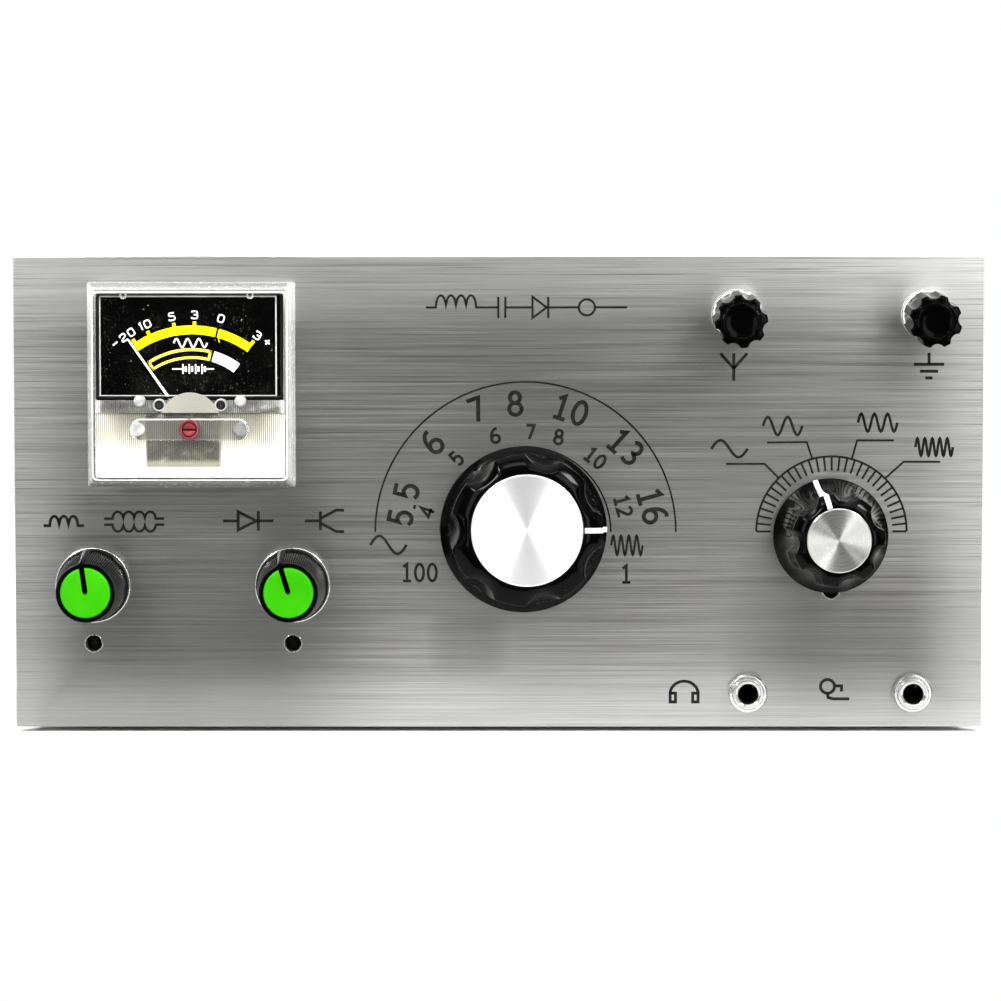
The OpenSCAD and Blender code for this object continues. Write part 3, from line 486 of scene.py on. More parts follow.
def mask_cream():
    """Ribbed milky plastic with painted light and shade: painted bright at the foot and the sides and greyer above,
    with the dark movement behind it painted in.
    """
    M = Mat("mask_cream", Spec=0.3)
    x, z = M.axis("X"), M.axis("Z")
    # painted shade: bright at the foot, greyer towards the top, paler again at the sides
    col = M.ramp(M.span(z, 0.0517, 0.0647, 0, 1), [(0.0, (0.80, 0.785, 0.71)), (0.20, (0.74, 0.72, 0.63)), (0.42, (0.52, 0.50, 0.42)), (0.70, (0.27, 0.26, 0.205)), (1.0, (0.105, 0.102, 0.078))])
    side = M.span(M.math("ABSOLUTE", M.math("SUBTRACT", x, MX / 1000)), 0.0125, 0.0186, 0, 1, True)
    col = M.blend(M.math("MULTIPLY", side, 0.60), col, (0.72, 0.70, 0.62))
    # the movement behind the plastic painted in as a soft-edged dark box with a darker strip along its foot, and
    # painted shade behind the raised bar
    bx = M.math("MULTIPLY", M.span(x, -0.0694, -0.0688, 0, 1, True), M.span(x, -0.0550, -0.0538, 1, 0, True))
    bz = M.math("MULTIPLY", M.span(z, 0.0529, 0.0536, 0, 1, True), M.span(z, 0.0640, 0.0652, 1, 0, True))
    box = M.math("MULTIPLY", bx, bz)
    n = M.noise((360, 5, 560), 4, 0.6)
    inside = M.ramp(n, [(0.32, (0.002, 0.002, 0.0015)), (0.50, (0.014, 0.014, 0.009)), (0.62, (0.055, 0.053, 0.038)), (0.76, (0.30, 0.29, 0.24))])
    col = M.blend(M.math("MULTIPLY", box, 0.95), col, inside)
    foot = M.math("MULTIPLY", bx, M.math("MULTIPLY", M.span(z, 0.0530, 0.0536, 0, 1, True), M.span(z, 0.0540, 0.0550, 1, 0, True)))
    col = M.blend(M.math("MULTIPLY", foot, 0.55), col, (0.30, 0.30, 0.22))
    cx = M.math("MULTIPLY", M.span(x, -0.0728, -0.0716, 0, 1, True), M.span(x, -0.0500, -0.0488, 1, 0, True))
    cz = M.math("MULTIPLY", M.span(z, 0.0585, 0.0593, 0, 1, True), M.span(z, 0.0624, 0.0630, 1, 0, True))
    col = M.blend(M.math("MULTIPLY", M.math("MULTIPLY", cx, cz), 0.62), col, (0.10, 0.10, 0.088))
    # fine ribs painted as stripes: dark stripes, strongest low down, and pale stripes over the movement: painted rib
    # shade and highlights
    wave = M.math("SINE", M.math("MULTIPLY", x, 2 * pi / 0.000405))
    low = M.span(z, 0.0525, 0.0585, 0.05, 0.80)
    col = M.blend(M.math("MULTIPLY", M.span(wave, -0.2, 0.9, 0, 1), low), col, (0.03, 0.03, 0.022))
    col = M.blend(M.math("MULTIPLY", M.math("MULTIPLY", box, M.span(wave, -0.3, -0.95, 0, 1)), 0.12), col, (0.36, 0.35, 0.29))
    M.color(col)
    M.rough(M.span(n, 0.3, 0.7, 0.35, 0.5))
    M.bump(M.noise(1500, 2), 0.05, 0.00002)
    return M.m


def ribbed_grey():
    M = Mat("ribbed_strip_grey", Spec=0.3)
    x = M.axis("X")
    n = M.noise((220, 5, 420), 4, 0.6)
    col = M.ramp(n, [(0.32, (0.045, 0.045, 0.040)), (0.55, (0.135, 0.135, 0.122)), (0.75, (0.36, 0.36, 0.34))])
    side = M.span(M.math("ABSOLUTE", M.math("SUBTRACT", x, MX / 1000)), 0.0172, 0.0182, 0, 1, True)
    col = M.blend(side, col, (0.60, 0.60, 0.57))
    # ribs painted as dark stripes: painted shade in the rib valleys
    wave = M.math("SINE", M.math("MULTIPLY", x, 2 * pi / 0.00042))
    col = M.blend(M.math("MULTIPLY", M.span(wave, -0.2, 0.9, 0, 1), 0.75), col, (0.02, 0.02, 0.018))
    M.color(col)
    M.rough(M.span(n, 0.3, 0.7, 0.35, 0.5))
    M.bump(M.noise(1500, 2), 0.05, 0.00002)
    return M.m


m_cream = mask_cream()
m_yellow = print_ink("dial_yellow", (0.96, 0.86, 0.0), 0.5, 0.02)
m_pale = print_ink("dial_pale_yellow", (0.93, 0.84, 0.08), 0.5, 0.05)
m_dwhite = print_ink("dial_white", (0.93, 0.93, 0.95), 0.5, 0.02)
m_outline = print_ink("window_line", (0.42, 0.42, 0.42), 0.4, 0.3)
m_reddark = moulded("adjuster_shade", (0.016, 0.002, 0.003), 0.5, vary=0.3, scale=900, Spec=0.2)
m_red = moulded("adjuster_red", (0.19, 0.014, 0.018), 0.35, vary=0.5, scale=900, Spec=0.3)
m_redclear = Mat("adjuster_ring", Transmission_Weight=0.35, Base_Color=(0.62, 0.10, 0.12), Roughness=0.25, IOR=1.49)
m_redclear.bump(m_redclear.noise(1200, 2), 0.1, 0.00003)
m_redclear.color(m_redclear.ramp(m_redclear.noise(500, 3), [(0.3, (0.15, 0.016, 0.022)), (0.7, (0.26, 0.05, 0.06))]))
m_redclear = m_redclear.m
m_line = moulded("pointer_line", (0.95, 0.95, 0.94), 0.35, vary=0.02)



def switch_zinc_painted_lug_shade():
    """Zinc-plated cup whose locating lug, where it shows through the panel's hole, is painted black: painted shade
    inside the hole.
    """
    M = Mat("switch_zinc_painted_lug_shade", Metallic=1.0)
    n = M.noise((900, 900, 1500), 4)
    col = M.ramp(n, [(0.35, (0.52, 0.52, 0.50)), (0.65, (0.66, 0.66, 0.64))])
    near = None
    # the lug behind each locating hole painted black: painted shade
    for x, v in [(BAND[0], BAND[1] - 11.7)] + [(c[0], c[1] - 11.7) for c in SMALL.values()]:
        d = M.math("LESS_THAN", M.radius(x, v), 0.0030)
        near = d if near is None else M.math("MAXIMUM", near, d)
    M.color(M.blend(near, col, (0.006, 0.006, 0.006)))
    M.rough(M.span(n, 0.3, 0.7, 0.3, 0.45))
    M.bump(n, 0.15, 0.00002)
    return M.m


m_switch = switch_zinc_painted_lug_shade()
NODE_MAT = {
    "front_panel": m_panel, "chassis": m_sheet, "cover": m_paint, "cover_screws": m_screw, "feet": m_rubber,
    "meter_cover": m_clear, "meter_case": m_ivory, "meter_dial_plate": m_dial, "meter_mask": m_cream,
    "meter_hub_cover": m_hub, "meter_magnet": m_steel, "meter_terminals": m_brass, "meter_nuts": m_zinc,
    "meter_pointer": m_white, "zero_adjuster": m_red, "capacitor_frame": m_zinc, "capacitor_stator": m_vane,
    "capacitor_insulators": m_ceramic, "capacitor_rotor": m_vane, "bushing_nuts": m_zinc, "tuning_knob": m_bakelite,
    "tuning_knob_disc": m_vane, "tuning_set_screw": m_screw, "band_switch_body": m_switch, "band_switch_shaft": m_shaft,
    "band_knob": m_bakelite, "band_knob_disc": m_vane, "coil_switch_body": m_switch, "coil_switch_shaft": m_shaft,
    "coil_switch_knob": m_knurl, "coil_switch_cap": m_green, "detector_switch_body": m_switch,
    "detector_switch_shaft": m_shaft, "detector_switch_knob": m_knurl, "detector_switch_cap": m_green,
    "switch_wafers": m_phenolic, "switch_terminals": m_brass, "antenna_post_stud": m_zinc, "ground_post_stud": m_zinc,
    "post_insulators": m_nylon, "post_nuts": m_zinc, "antenna_post_cap": m_cap, "ground_post_cap": m_cap,
    "antenna_post_washer": m_zinc, "ground_post_washer": m_zinc, "headphone_jack": m_nylon, "earphone_jack": m_nylon,
    "jack_nuts": m_zinc, "jack_contacts": m_brass, "coil_former": m_phenolic, "antenna_winding": m_copper,
    "detector_winding": m_copper, "circuit_board": m_board, "board_standoffs": m_wnylon, "germanium_diode": m_glass,
    "detector_transistor": m_trans, "resistors": m_resist, "disc_capacitors": m_disc, "wiring": m_wire,
}
for n, o in N.items():
    o.data.materials.clear()
    o.data.materials.append(NODE_MAT[n])


def soften(node, width=0.15, segments=2):
    """Rounds the hard edges of a CAD node with modifiers only."""
    o = N[node]
    w = o.modifiers.new("weld", "WELD")
    w.merge_threshold = 0.000002
    d = o.modifiers.new("flat", "DECIMATE")
    d.decimate_type, d.angle_limit = "DISSOLVE", math.radians(2)
    b = o.modifiers.new("bevel", "BEVEL")
    b.width, b.segments, b.limit_method, b.angle_limit = width / 1000, segments, "ANGLE", math.radians(40)
    b.use_clamp_overlap = True
    b.harden_normals = False


for n in ("cover", "feet", "circuit_board"):
    soften(n, 0.2 if n != "feet" else 0.35)

# ---------------------------------------------------------------- mesh helpers


def shade(o, sharp):
    """Smooth shading whose normals follow the larger faces, so that flats stay flat beside their rounded edges."""
    o.data.shade_smooth()
    o.data.set_sharp_from_angle(angle=math.radians(sharp))
    w = o.modifiers.new("weighted", "WEIGHTED_NORMAL")
    w.keep_sharp = True
    w.weight = 80


def obj_from(name, verts, faces, body, mat, slot=None, sharp=35, replaces=(), smooth=True, mats=None, face_mat=None, origin=None):
    """A mesh piece from points in the frame, riding on a body."""
    me = bpy.data.meshes.new(name)
    bm = bmesh.new()
    vs = [bm.verts.new(v - origin if origin else v) for v in verts]
    for i, f in enumerate(faces):
        try:
            face = bm.faces.new([vs[k] for k in f])
        except ValueError:
            continue
        if face_mat:
            face.material_index = face_mat[i]
    bmesh.ops.remove_doubles(bm, verts=bm.verts, dist=1e-7)
    bmesh.ops.recalc_face_normals(bm, faces=bm.faces)
    bm.to_mesh(me)
    bm.free()
    for x in mats or [mat]:
        me.materials.append(x)
    o = bpy.data.objects.new(name, me)
    scene.collection.objects.link(o)
    if origin:
        o.matrix_world = Matrix.Translation(origin)
    if smooth:
        shade(o, sharp)
    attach(o, body)
    if replaces:
        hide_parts(*replaces)
    return o


def rounded(pts, seg=4, closed=False):
    """Rounds the corners of a polyline. A point is (a, b) or (a, b, radius)."""
    out_, n = [], len(pts)
    for i, p in enumerate(pts):
        x, y, rad = p[0], p[1], (p[2] if len(p) > 2 else 0)
        if rad <= 0 or (not closed and i in (0, n - 1)):
            out_.append((x, y))
            continue
        va = Vector((pts[i - 1][0] - x, pts[i - 1][1] - y))
        vb = Vector((pts[(i + 1) % n][0] - x, pts[(i + 1) % n][1] - y))
        la, lb = va.length, vb.length
        va.normalize()
        vb.normalize()
        ang = va.angle(vb)
        if ang > 3.05 or ang < 0.02:
            out_.append((x, y))
            continue
        t = min(rad / math.tan(ang / 2), la * 0.48, lb * 0.48)
        for k in range(seg + 1):
            s = k / seg
            q = Vector((x, y)) + va * t * (1 - s) ** 2 + vb * t * s ** 2
            out_.append((q.x, q.y))
    return out_


def lathe(name, x, v, prof, body, mat, n=96, closed=False, radius=None, lean=None, own=False, **kw):
    """Turns a profile of (r, h) about the line through x, v. radius(theta, k, r) may change r, for flutes and knurls.
    closed joins the last point to the first, for rings. lean(h) shifts a ring sideways, for a knob that sits askew.
    own puts the object's origin on the axis, for turned grooves."""
    verts, faces, rings = [], [], []
    for k, (r, h) in enumerate(prof):
        lx, lv = lean(h) if lean else (0, 0)
        if r < 1e-6:
            rings.append([len(verts)])
            verts.append(P(x + lx, v + lv, h))
            continue
        ring = []
        for i in range(n):
            th = 2 * pi * i / n
            rr = radius(th, k, r) if radius else r
            ring.append(len(verts))
            verts.append(P(x + lx + rr * math.cos(th), v + lv + rr * math.sin(th), h))
        rings.append(ring)
    pairs = list(zip(rings, rings[1:])) + ([(rings[-1], rings[0])] if closed else [])
    for a, b in pairs:
        if len(a) == 1 and len(b) == 1:
            continue
        for i in range(n):
            j = (i + 1) % n
            if len(a) == 1:
                faces.append((a[0], b[i], b[j]))
            elif len(b) == 1:
                faces.append((a[i], b[0], a[j]))
            else:
                faces.append((a[i], a[j], b[j], b[i]))
    if own:
        lx, lv = lean(prof[-1][1]) if lean else (0, 0)
        kw["origin"] = P(x + lx, v + lv, 0)
    return obj_from(name, verts, faces, body, mat, **kw)


def smin(a, b, k):
    """Smooth minimum, for rounded crests."""
    t = max(k - abs(a - b), 0) / k
    return min(a, b) - t * t * k * 0.25


def lobes(th, r, n, depth, fr, a0, soft=0.12):
    """Radius at angle th (radians) of a circle r with n round hollows, the first at a0 degrees."""
    per = 2 * pi / n
    d = (th - math.radians(a0) + per / 2) % per - per / 2
    c = r - depth + fr
    s = c * math.sin(d)
    if abs(s) >= fr or depth <= 0:
        return r
    return smin(r, c * math.cos(d) - math.sqrt(fr * fr - s * s), soft) if soft else min(r, c * math.cos(d) - math.sqrt(fr * fr - s * s))


def strip(name, pts, width, body, mat, h=0.0, lift=0.03, closed=False, chamfer=0.04, slot=None):
    """A flat printed line through panel points (x, v): a thin raised ribbon with mitred corners. It reaches a little into what carries it."""
    n = len(pts)
    verts, faces = [], []
    prof = [(-width / 2, -0.02), (-width / 2 + chamfer * 0.5, lift), (width / 2 - chamfer * 0.5, lift), (width / 2, -0.02)]
    for i, p in enumerate(pts):
        p = Vector(p)
        a = Vector(pts[i - 1]) if (i or closed) else None
        b = Vector(pts[(i + 1) % n]) if (i < n - 1 or closed) else None
        ta = (p - a).normalized() if a is not None else None
        tb = (b - p).normalized() if b is not None else None
        if ta is None:
            t, k = tb, 1
        elif tb is None:
            t, k = ta, 1
        else:
            t = (ta + tb).normalized()
            k = 1 / max(0.35, t.dot(ta))
        nrm = Vector((-t.y, t.x)) * k
        for s, dh in prof:
            q = p + nrm * s
            verts.append(P(q.x, q.y, h + dh))
    m_ = len(prof)
    for i in range(n if closed else n - 1):
        j = (i + 1) % n
        for k in range(m_):
            l = (k + 1) % m_
            faces.append((i * m_ + k, i * m_ + l, j * m_ + l, j * m_ + k))
    if not closed:
        faces.append(tuple(range(m_)))
        faces.append(tuple((n - 1) * m_ + k for k in reversed(range(m_))))
    return obj_from(name, verts, faces, body, mat, smooth=False, slot=slot)


def arc_pts(cx, cy, r, a0, a1, n):
    return [(cx + r * math.cos(math.radians(a0 + (a1 - a0) * i / n)), cy + r * math.sin(math.radians(a0 + (a1 - a0) * i / n))) for i in range(n + 1)]


def join(name, objs):
    """Joins pieces on the same body into one."""
    dst = objs[0]
    bm = bmesh.new()
    mats = []
    for o in objs:
        tmp = bmesh.new()
        tmp.from_mesh(o.data)
        me = bpy.data.meshes.new("tmp")
        for f in tmp.faces:
            mt = o.data.materials[f.material_index]
            if mt not in mats:
                mats.append(mt)
            f.material_index = mats.index(mt)
        tmp.to_mesh(me)
        tmp.free()
        bm.from_mesh(me)
        bpy.data.meshes.remove(me)
    me = bpy.data.meshes.new(name)
    bm.to_mesh(me)
    bm.free()
    for x in mats:
        me.materials.append(x)
    body = body_of(dst)
    smooth = any(p.use_smooth for p in dst.data.polygons)
    new = bpy.data.objects.new(name, me)
    scene.collection.objects.link(new)
    if smooth:
        shade(new, 35)
    for o in objs:
        old = o.data
        bpy.data.objects.remove(o)
        bpy.data.meshes.remove(old)
    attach(new, body if isinstance(body, str) else body[0])
    return new


def curve(cx, cy, rx, ry, a0, a1, n=14):
    return [(cx + rx * math.cos(math.radians(a0 + (a1 - a0) * i / n)), cy + ry * math.sin(math.radians(a0 + (a1 - a0) * i / n))) for i in range(n + 1)]


# centre lines of plain numerals in a box one unit high: (lines, width); a line that ends where it starts is closed
ROUND = {
    "0": ([curve(0.30, 0.5, 0.25, 0.45, 0, 360, 32)], 0.60),
    "1": ([[(0.10, 0.80), (0.32, 0.95), (0.32, 0.05)], [(0.08, 0.05), (0.56, 0.05)]], 0.60),
    "2": ([curve(0.29, 0.70, 0.24, 0.25, 155, -25, 16) + [(0.06, 0.05), (0.56, 0.05)]], 0.60),
    "3": ([curve(0.27, 0.725, 0.23, 0.225, 140, -80, 14) + curve(0.27, 0.275, 0.26, 0.225, 80, -140, 14)], 0.58),
    "4": ([[(0.44, 0.05), (0.44, 0.95), (0.04, 0.31), (0.60, 0.31)]], 0.62),
    "5": ([[(0.51, 0.95), (0.12, 0.95), (0.10, 0.53)] + curve(0.28, 0.33, 0.26, 0.28, 120, -140, 16)], 0.58),
    "6": ([curve(0.42, 0.36, 0.36, 0.59, 78, 180, 10), curve(0.31, 0.30, 0.25, 0.25, 0, 360, 28)], 0.60),
    "7": ([[(0.04, 0.95), (0.54, 0.95), (0.22, 0.05)]], 0.56),
    "8": ([curve(0.30, 0.735, 0.205, 0.215, 0, 360, 26), curve(0.30, 0.285, 0.25, 0.235, 0, 360, 28)], 0.60),
    ".": ([[(0.10, 0.00), (0.10, 0.10)]], 0.20),
}


def loop(pts):
    return pts + [pts[0]]


def boxy(pts):
    return rounded([(x, y, 0.22) for x, y in pts], 4)


SQUARE = {
    "0": ([loop(rounded([(0.08, 0.05, 0.24), (0.08, 0.95, 0.24), (0.68, 0.95, 0.24), (0.68, 0.05, 0.24)], 5, True))], 0.76),
    "1": ([[(0.10, 0.78), (0.26, 0.95), (0.26, 0.05)]], 0.36),
    "2": ([boxy([(0.10, 0.72), (0.10, 0.95), (0.66, 0.95), (0.66, 0.56), (0.08, 0.30), (0.08, 0.05), (0.70, 0.05)])], 0.76),
    "3": ([boxy([(0.08, 0.80), (0.08, 0.95), (0.66, 0.95), (0.66, 0.52), (0.28, 0.52)]), boxy([(0.40, 0.52), (0.68, 0.52), (0.68, 0.05), (0.07, 0.05), (0.07, 0.22)])], 0.74),
    "5": ([boxy([(0.66, 0.95), (0.11, 0.95), (0.11, 0.56), (0.68, 0.56), (0.68, 0.05), (0.07, 0.05), (0.07, 0.20)])], 0.74),
}


def number(text, x, v, height, turn=0.0, h=0.0, mat=None, lift=0.03, stroke=0.5, style=None, gap=0.16, wide=1.0):
    """A plain number as thin raised print, centred on (x, v), turned by turn degrees anticlockwise. Returns its strokes."""
    style = style or ROUND
    k = height - stroke
    lines, at_x = [], 0.0
    for ch in text:
        ls, w = style[ch]
        for ln in ls:
            lines.append([((px_ + at_x) * wide * k, (py - 0.05) / 0.9 * k) for px_, py in ln])
        at_x += w + gap
    xs = [q[0] for ln in lines for q in ln]
    mx_, my = (min(xs) + max(xs)) / 2, k / 2
    ca, sa = math.cos(math.radians(turn)), math.sin(math.radians(turn))
    res = []
    for i, ln in enumerate(lines):
        pts = [(x + (a - mx_) * ca - (b - my) * sa, v + (a - mx_) * sa + (b - my) * ca) for a, b in ln]
        shut = (Vector(pts[0]) - Vector(pts[-1])).length < 1e-6
        res.append(strip(f"n{text}{i}", pts[:-1] if shut else pts, stroke, "root", mat, h=h, lift=lift + 0.0006 * (i % 3), closed=shut))
    return res


# ---------------------------------------------------------------- front panel

# a flat sheet with rounded edges and every hole in it, made as a filled outline
HOLES = [(*TUNE, 4.6), (*BAND, 4.6), (BAND[0], BAND[1] - 11.7, 1.65)]
for c in SMALL.values():
    HOLES += [(*c, 4.6), (c[0], c[1] - 11.7, 1.65)]
HOLES += [(*c, 3.1) for c in POSTS.values()] + [(*c, 3.06) for c in JACKS.values()]
HOLES += [(MX, MV - 3.4, 16.6)] + [(MX + s * 16.6, MV + s * 15.6, 1.4) for s in (-1, 1)]


def sheet_panel():
    t, bev = 2.0, 0.14
    x1, v0, v1 = 95.9, 1.0, 94.5
    loops = [[(x1 - 0.3, v0), (x1, v0 + 0.3), (x1, v1 - 0.3), (x1 - 0.3, v1), (-x1 + 0.3, v1), (-x1, v1 - 0.3), (-x1, v0 + 0.3), (-x1 + 0.3, v0)]]
    for hx, hv, r in HOLES:
        n = 96 if r > 8 else 48
        loops.append([(hx + r * math.cos(-2 * pi * i / n), hv + r * math.sin(-2 * pi * i / n)) for i in range(n)])

    def inset(loop, d):
        res, n = [], len(loop)
        for i, p in enumerate(loop):
            a, b = Vector(loop[i - 1]), Vector(loop[(i + 1) % n])
            ta, tb = (Vector(p) - a).normalized(), (b - Vector(p)).normalized()
            t_ = (ta + tb).normalized()
            k = 1 / max(0.3, t_.dot(ta))
            res.append((p[0] - t_.y * d * k, p[1] + t_.x * d * k))
        return res

    bm = bmesh.new()

    def cap(h, loops_):
        edges, rings = [], []
        for lp in loops_:
            vs = [bm.verts.new(P(x, v, h)) for x, v in lp]
            edges += [bm.edges.new((vs[i], vs[(i + 1) % len(vs)])) for i in range(len(vs))]
            rings.append(vs)
        bmesh.ops.triangle_fill(bm, edges=edges, use_beauty=True, use_dissolve=False)
        return rings

    levels = [(0.0, bev), (-bev * 0.3, bev * 0.3), (-bev, 0.0), (-t + bev, 0.0), (-t, bev)]
    rings = [None] * len(levels)
    rings[0] = cap(levels[0][0], [inset(lp, levels[0][1]) for lp in loops])
    for q in (1, 2, 3):
        rings[q] = [[bm.verts.new(P(x, v, levels[q][0])) for x, v in inset(lp, levels[q][1])] for lp in loops]
    rings[4] = cap(levels[4][0], [inset(lp, levels[4][1]) for lp in loops])
    for a, b in zip(rings, rings[1:]):
        for la, lb in zip(a, b):
            for i in range(len(la)):
                j = (i + 1) % len(la)
                bm.faces.new((la[i], la[j], lb[j], lb[i]))
    bmesh.ops.recalc_face_normals(bm, faces=bm.faces)
    me = bpy.data.meshes.new("panel_sheet")
    bm.to_mesh(me)
    bm.free()
    me.materials.append(m_panel)
    o = bpy.data.objects.new("panel_sheet", me)
    scene.collection.objects.link(o)
    me.shade_smooth()
    me.set_sharp_from_angle(angle=math.radians(25))
    for p in me.polygons:
        if abs(p.normal.y) > 0.99:
            p.use_smooth = False
    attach(o, "root")
    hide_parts("front_panel")
    return o


sheet_panel()

# bright burr round each locating hole
m_burr = turned("burr_metal", (0.42, 0.42, 0.41), 0.25, 0, 0)
for i, (x, v) in enumerate([(BAND[0], BAND[1] - 11.7)] + [(c[0], c[1] - 11.7) for c in SMALL.values()]):
    wob = [rnd.random() * 6 for _ in range(4)]
    lathe(f"hole_burr_{i + 1}", x, v, rounded([(1.62, -0.4), (1.62, 0.05, 0.03), (1.78, 0.05, 0.03), (1.86, -0.03)], 3), "root", m_burr, n=72, closed=True,
          radius=lambda th, k, r, w=wob: r + 0.03 * math.sin(5 * th + w[0]) + 0.025 * math.sin(11 * th + w[1]) * (k > 3), slot="brushed_panel")

# ---------------------------------------------------------------- print on the panel

CX, CV = 5.4, VC - 7.93
pr = []
for k, (r, w) in enumerate(((29.8, 0.38), (16.9, 0.36))):
    pr.append(strip(f"p{k}", arc_pts(CX, CV, r, 180, 0, 120), w, "root", m_ink))
dial_arcs = join("dial_arcs", pr)

big = [("5.5", -18.77, -2.34, 77), ("6", -13.00, 9.85, 47), ("7", -4.38, 16.26, 20), ("8", 3.36, 17.58, 2), ("10", 14.41, 16.25, -18), ("13", 25.24, 8.95, -42), ("16", 30.57, -2.81, -75)]
small = [("4", -14.13, -3.89, 70), ("5", -8.23, 6.74, 45), ("6", -0.62, 11.18, 10), ("7", 6.37, 11.91, 0), ("8", 11.98, 10.93, -8), ("10", 19.27, 6.72, -38), ("12", 24.80, -2.81, -75)]
join("dial_numbers_outer", sum((number(t, x, VC + z, 5.3, a, mat=m_ink, stroke=0.82, wide=1.10) for t, x, z, a in big), []))
join("dial_numbers_inner", sum((number(t, x, VC + z, 3.35, a, mat=m_ink, stroke=0.60, wide=1.12) for t, x, z, a in small), []))

BX, BV = 66.04, VC - 7.83
pr = [strip("b0", arc_pts(BX, BV, 14.9, 180, 0, 90), 0.44, "root", m_ink)]
for k in range(31):
    a = math.radians(180 - 6 * k)
    ca, sa = math.cos(a), math.sin(a)
    pr.append(strip(f"b{k + 1}", [(BX + 14.85 * ca, BV + 14.85 * sa), (BX + 12.06 * ca, BV + 12.06 * sa)], 0.43, "root", m_ink))
for k, pts in enumerate(([(45.09, 5.58), (52.76, 5.58), (55.54, 2.80)], [(53.22, 9.83), (61.10, 9.90), (62.16, 6.63)],
                         [(78.31, 10.23), (71.05, 10.24), (70.02, 6.53)], [(87.52, 5.98), (80.27, 5.99), (76.57, 2.65)])):
    pr.append(strip(f"l{k}", [(x, VC + z) for x, z in pts], 0.42, "root", m_ink))
join("band_scale", pr)


def sketch(name, x0, x1, z0, z1, lines, w=0.45, fit=True):
    """Line drawing in the box x0..x1, z0..z1 (from the panel's middle). Lines are in a unit box."""
    pr_ = []
    for k, ln in enumerate(lines):
        shut = ln[0] == ln[-1] and len(ln) > 2
        pts = [(x0 + (x1 - x0) * a, VC + z0 + (z1 - z0) * b) for a, b in (ln[:-1] if shut else ln)]
        pr_.append(strip(f"{name}{k}", pts, w, "root", m_ink, closed=shut))
    return pr_


def ring_pts(cx, cy, rx, ry, a0=0, a1=360, n=24):
    pts = [(cx + rx * math.cos(math.radians(a0 + (a1 - a0) * i / n)), cy + ry * math.sin(math.radians(a0 + (a1 - a0) * i / n))) for i in range(n + 1)]
    if a1 - a0 == 360:
        pts[-1] = pts[0]
    return pts


def humps(x0, x1, y, ry, k, n=8):
    """A row of k coil humps from x0 to x1."""
    out_ = []
    w = (x1 - x0) / k
    for i in range(k):
        out_ += [(x0 + w * (i + 0.5) - w / 2 * math.cos(pi * j / n), y + ry * math.sin(pi * j / n)) for j in range(n + (i == k - 1))]
    return out_


sym = []
# over the posts: aerial and earth
sym += sketch("aerial", 43.6, 49.6, 22.1, 27.5, [[(0.5, 0), (0.5, 1)], [(0.06, 1), (0.5, 0.45)], [(0.94, 1), (0.5, 0.45)]], 0.62)
sym += sketch("earth", 82.2, 88.2, 22.5, 27.6, [[(0.5, 0.55), (0.5, 1)], [(0, 0.55), (1, 0.55)], [(0.2, 0.28), (0.8, 0.28)], [(0.38, 0.02), (0.62, 0.02)]], 0.62)
# at the band leaders: 1 to 4 waves
for k, (x0, x1, z0, z1, cyc) in enumerate(((42.2, 49.4, 6.9, 10.3, 1), (52.4, 60.2, 11.3, 14.9, 2), (71.2, 79.0, 12.0, 15.5, 3), (82.6, 90.0, 7.2, 10.6, 5))):
    sym += sketch(f"wave{k}", x0, x1, z0, z1, [[(i / (16 * cyc), 0.5 + 0.5 * math.sin(2 * pi * i / 16)) for i in range(16 * cyc + 1)]], 0.55)
# coil switch: one coil, two coupled coils
sym += sketch("coil1", -90.2, -82.2, -7.6, -3.8, [[(0, 0.25)] + humps(0.15, 0.85, 0.25, 0.5, 3) + [(1, 0.25)]], 0.6)
sym += sketch("coil2", -78.2, -66.3, -7.6, -3.8, [[(0, 0.62)] + humps(0.14, 0.86, 0.62, 0.36, 4) + [(1, 0.62)], [(0, 0.3)] + [(a, 0.6 - b) for a, b in humps(0.14, 0.86, 0.3, 0.36, 4)] + [(1, 0.3)]], 0.52)
# detector switch: diode, transistor
sym += sketch("diode", -54.6, -44.6, -7.7, -3.7, [[(0, 0.5), (0.3, 0.5)], [(0.3, 0.95), (0.3, 0.05), (0.66, 0.5), (0.3, 0.95)], [(0.7, 0.98), (0.7, 0.02)], [(0.7, 0.5), (1, 0.5)]], 0.6)
sym += sketch("trans", -38.4, -30.6, -7.9, -3.5, [[(0, 0.5), (0.38, 0.5)], [(0.40, 0.92), (0.40, 0.08)], [(0.42, 0.62), (0.8, 0.98), (1, 0.98)], [(0.42, 0.38), (0.8, 0.02), (1, 0.02)]], 0.6)
# jacks: headphones and a single earpiece
sym += sketch("phones", 33.6, 40.2, -42.1, -37.5, [ring_pts(0.5, 0.42, 0.42, 0.54, 0, 180, 20), [(0.08, 0.44), (0.08, 0.06), (0.24, 0.06), (0.24, 0.44), (0.08, 0.44)], [(0.76, 0.44), (0.76, 0.06), (0.92, 0.06), (0.92, 0.44), (0.76, 0.44)]], 0.62)
sym += sketch("ear", 63.0, 70.0, -41.3, -37.0, [ring_pts(0.34, 0.6, 0.2, 0.32, 0, 360, 20), [(0.54, 0.62), (0.74, 0.62), (0.74, 0.36)], [(0.34, 0.28), (0.36, 0.08), (0.5, 0.02), (0.96, 0.02)]], 0.62)
# beside the tuning knob: slow and fast wave, and plain factors
sym += sketch("slow", -25.4, -18.2, -12.3, -8.7, [[(i / 16, 0.5 + 0.5 * math.sin(2 * pi * i / 16)) for i in range(17)]], 0.55)
sym += sketch("fast", 22.4, 28.6, -12.5, -8.7, [[(i / 64, 0.5 + 0.5 * math.sin(2 * pi * i / 16)) for i in range(65)]], 0.48)
join("panel_symbols", sym)
join("panel_factors", number("100", -15.6, VC - 16.0, 3.9, mat=m_ink, stroke=0.56) + number("1", 25.4, VC - 16.3, 3.9, mat=m_ink, stroke=0.56))
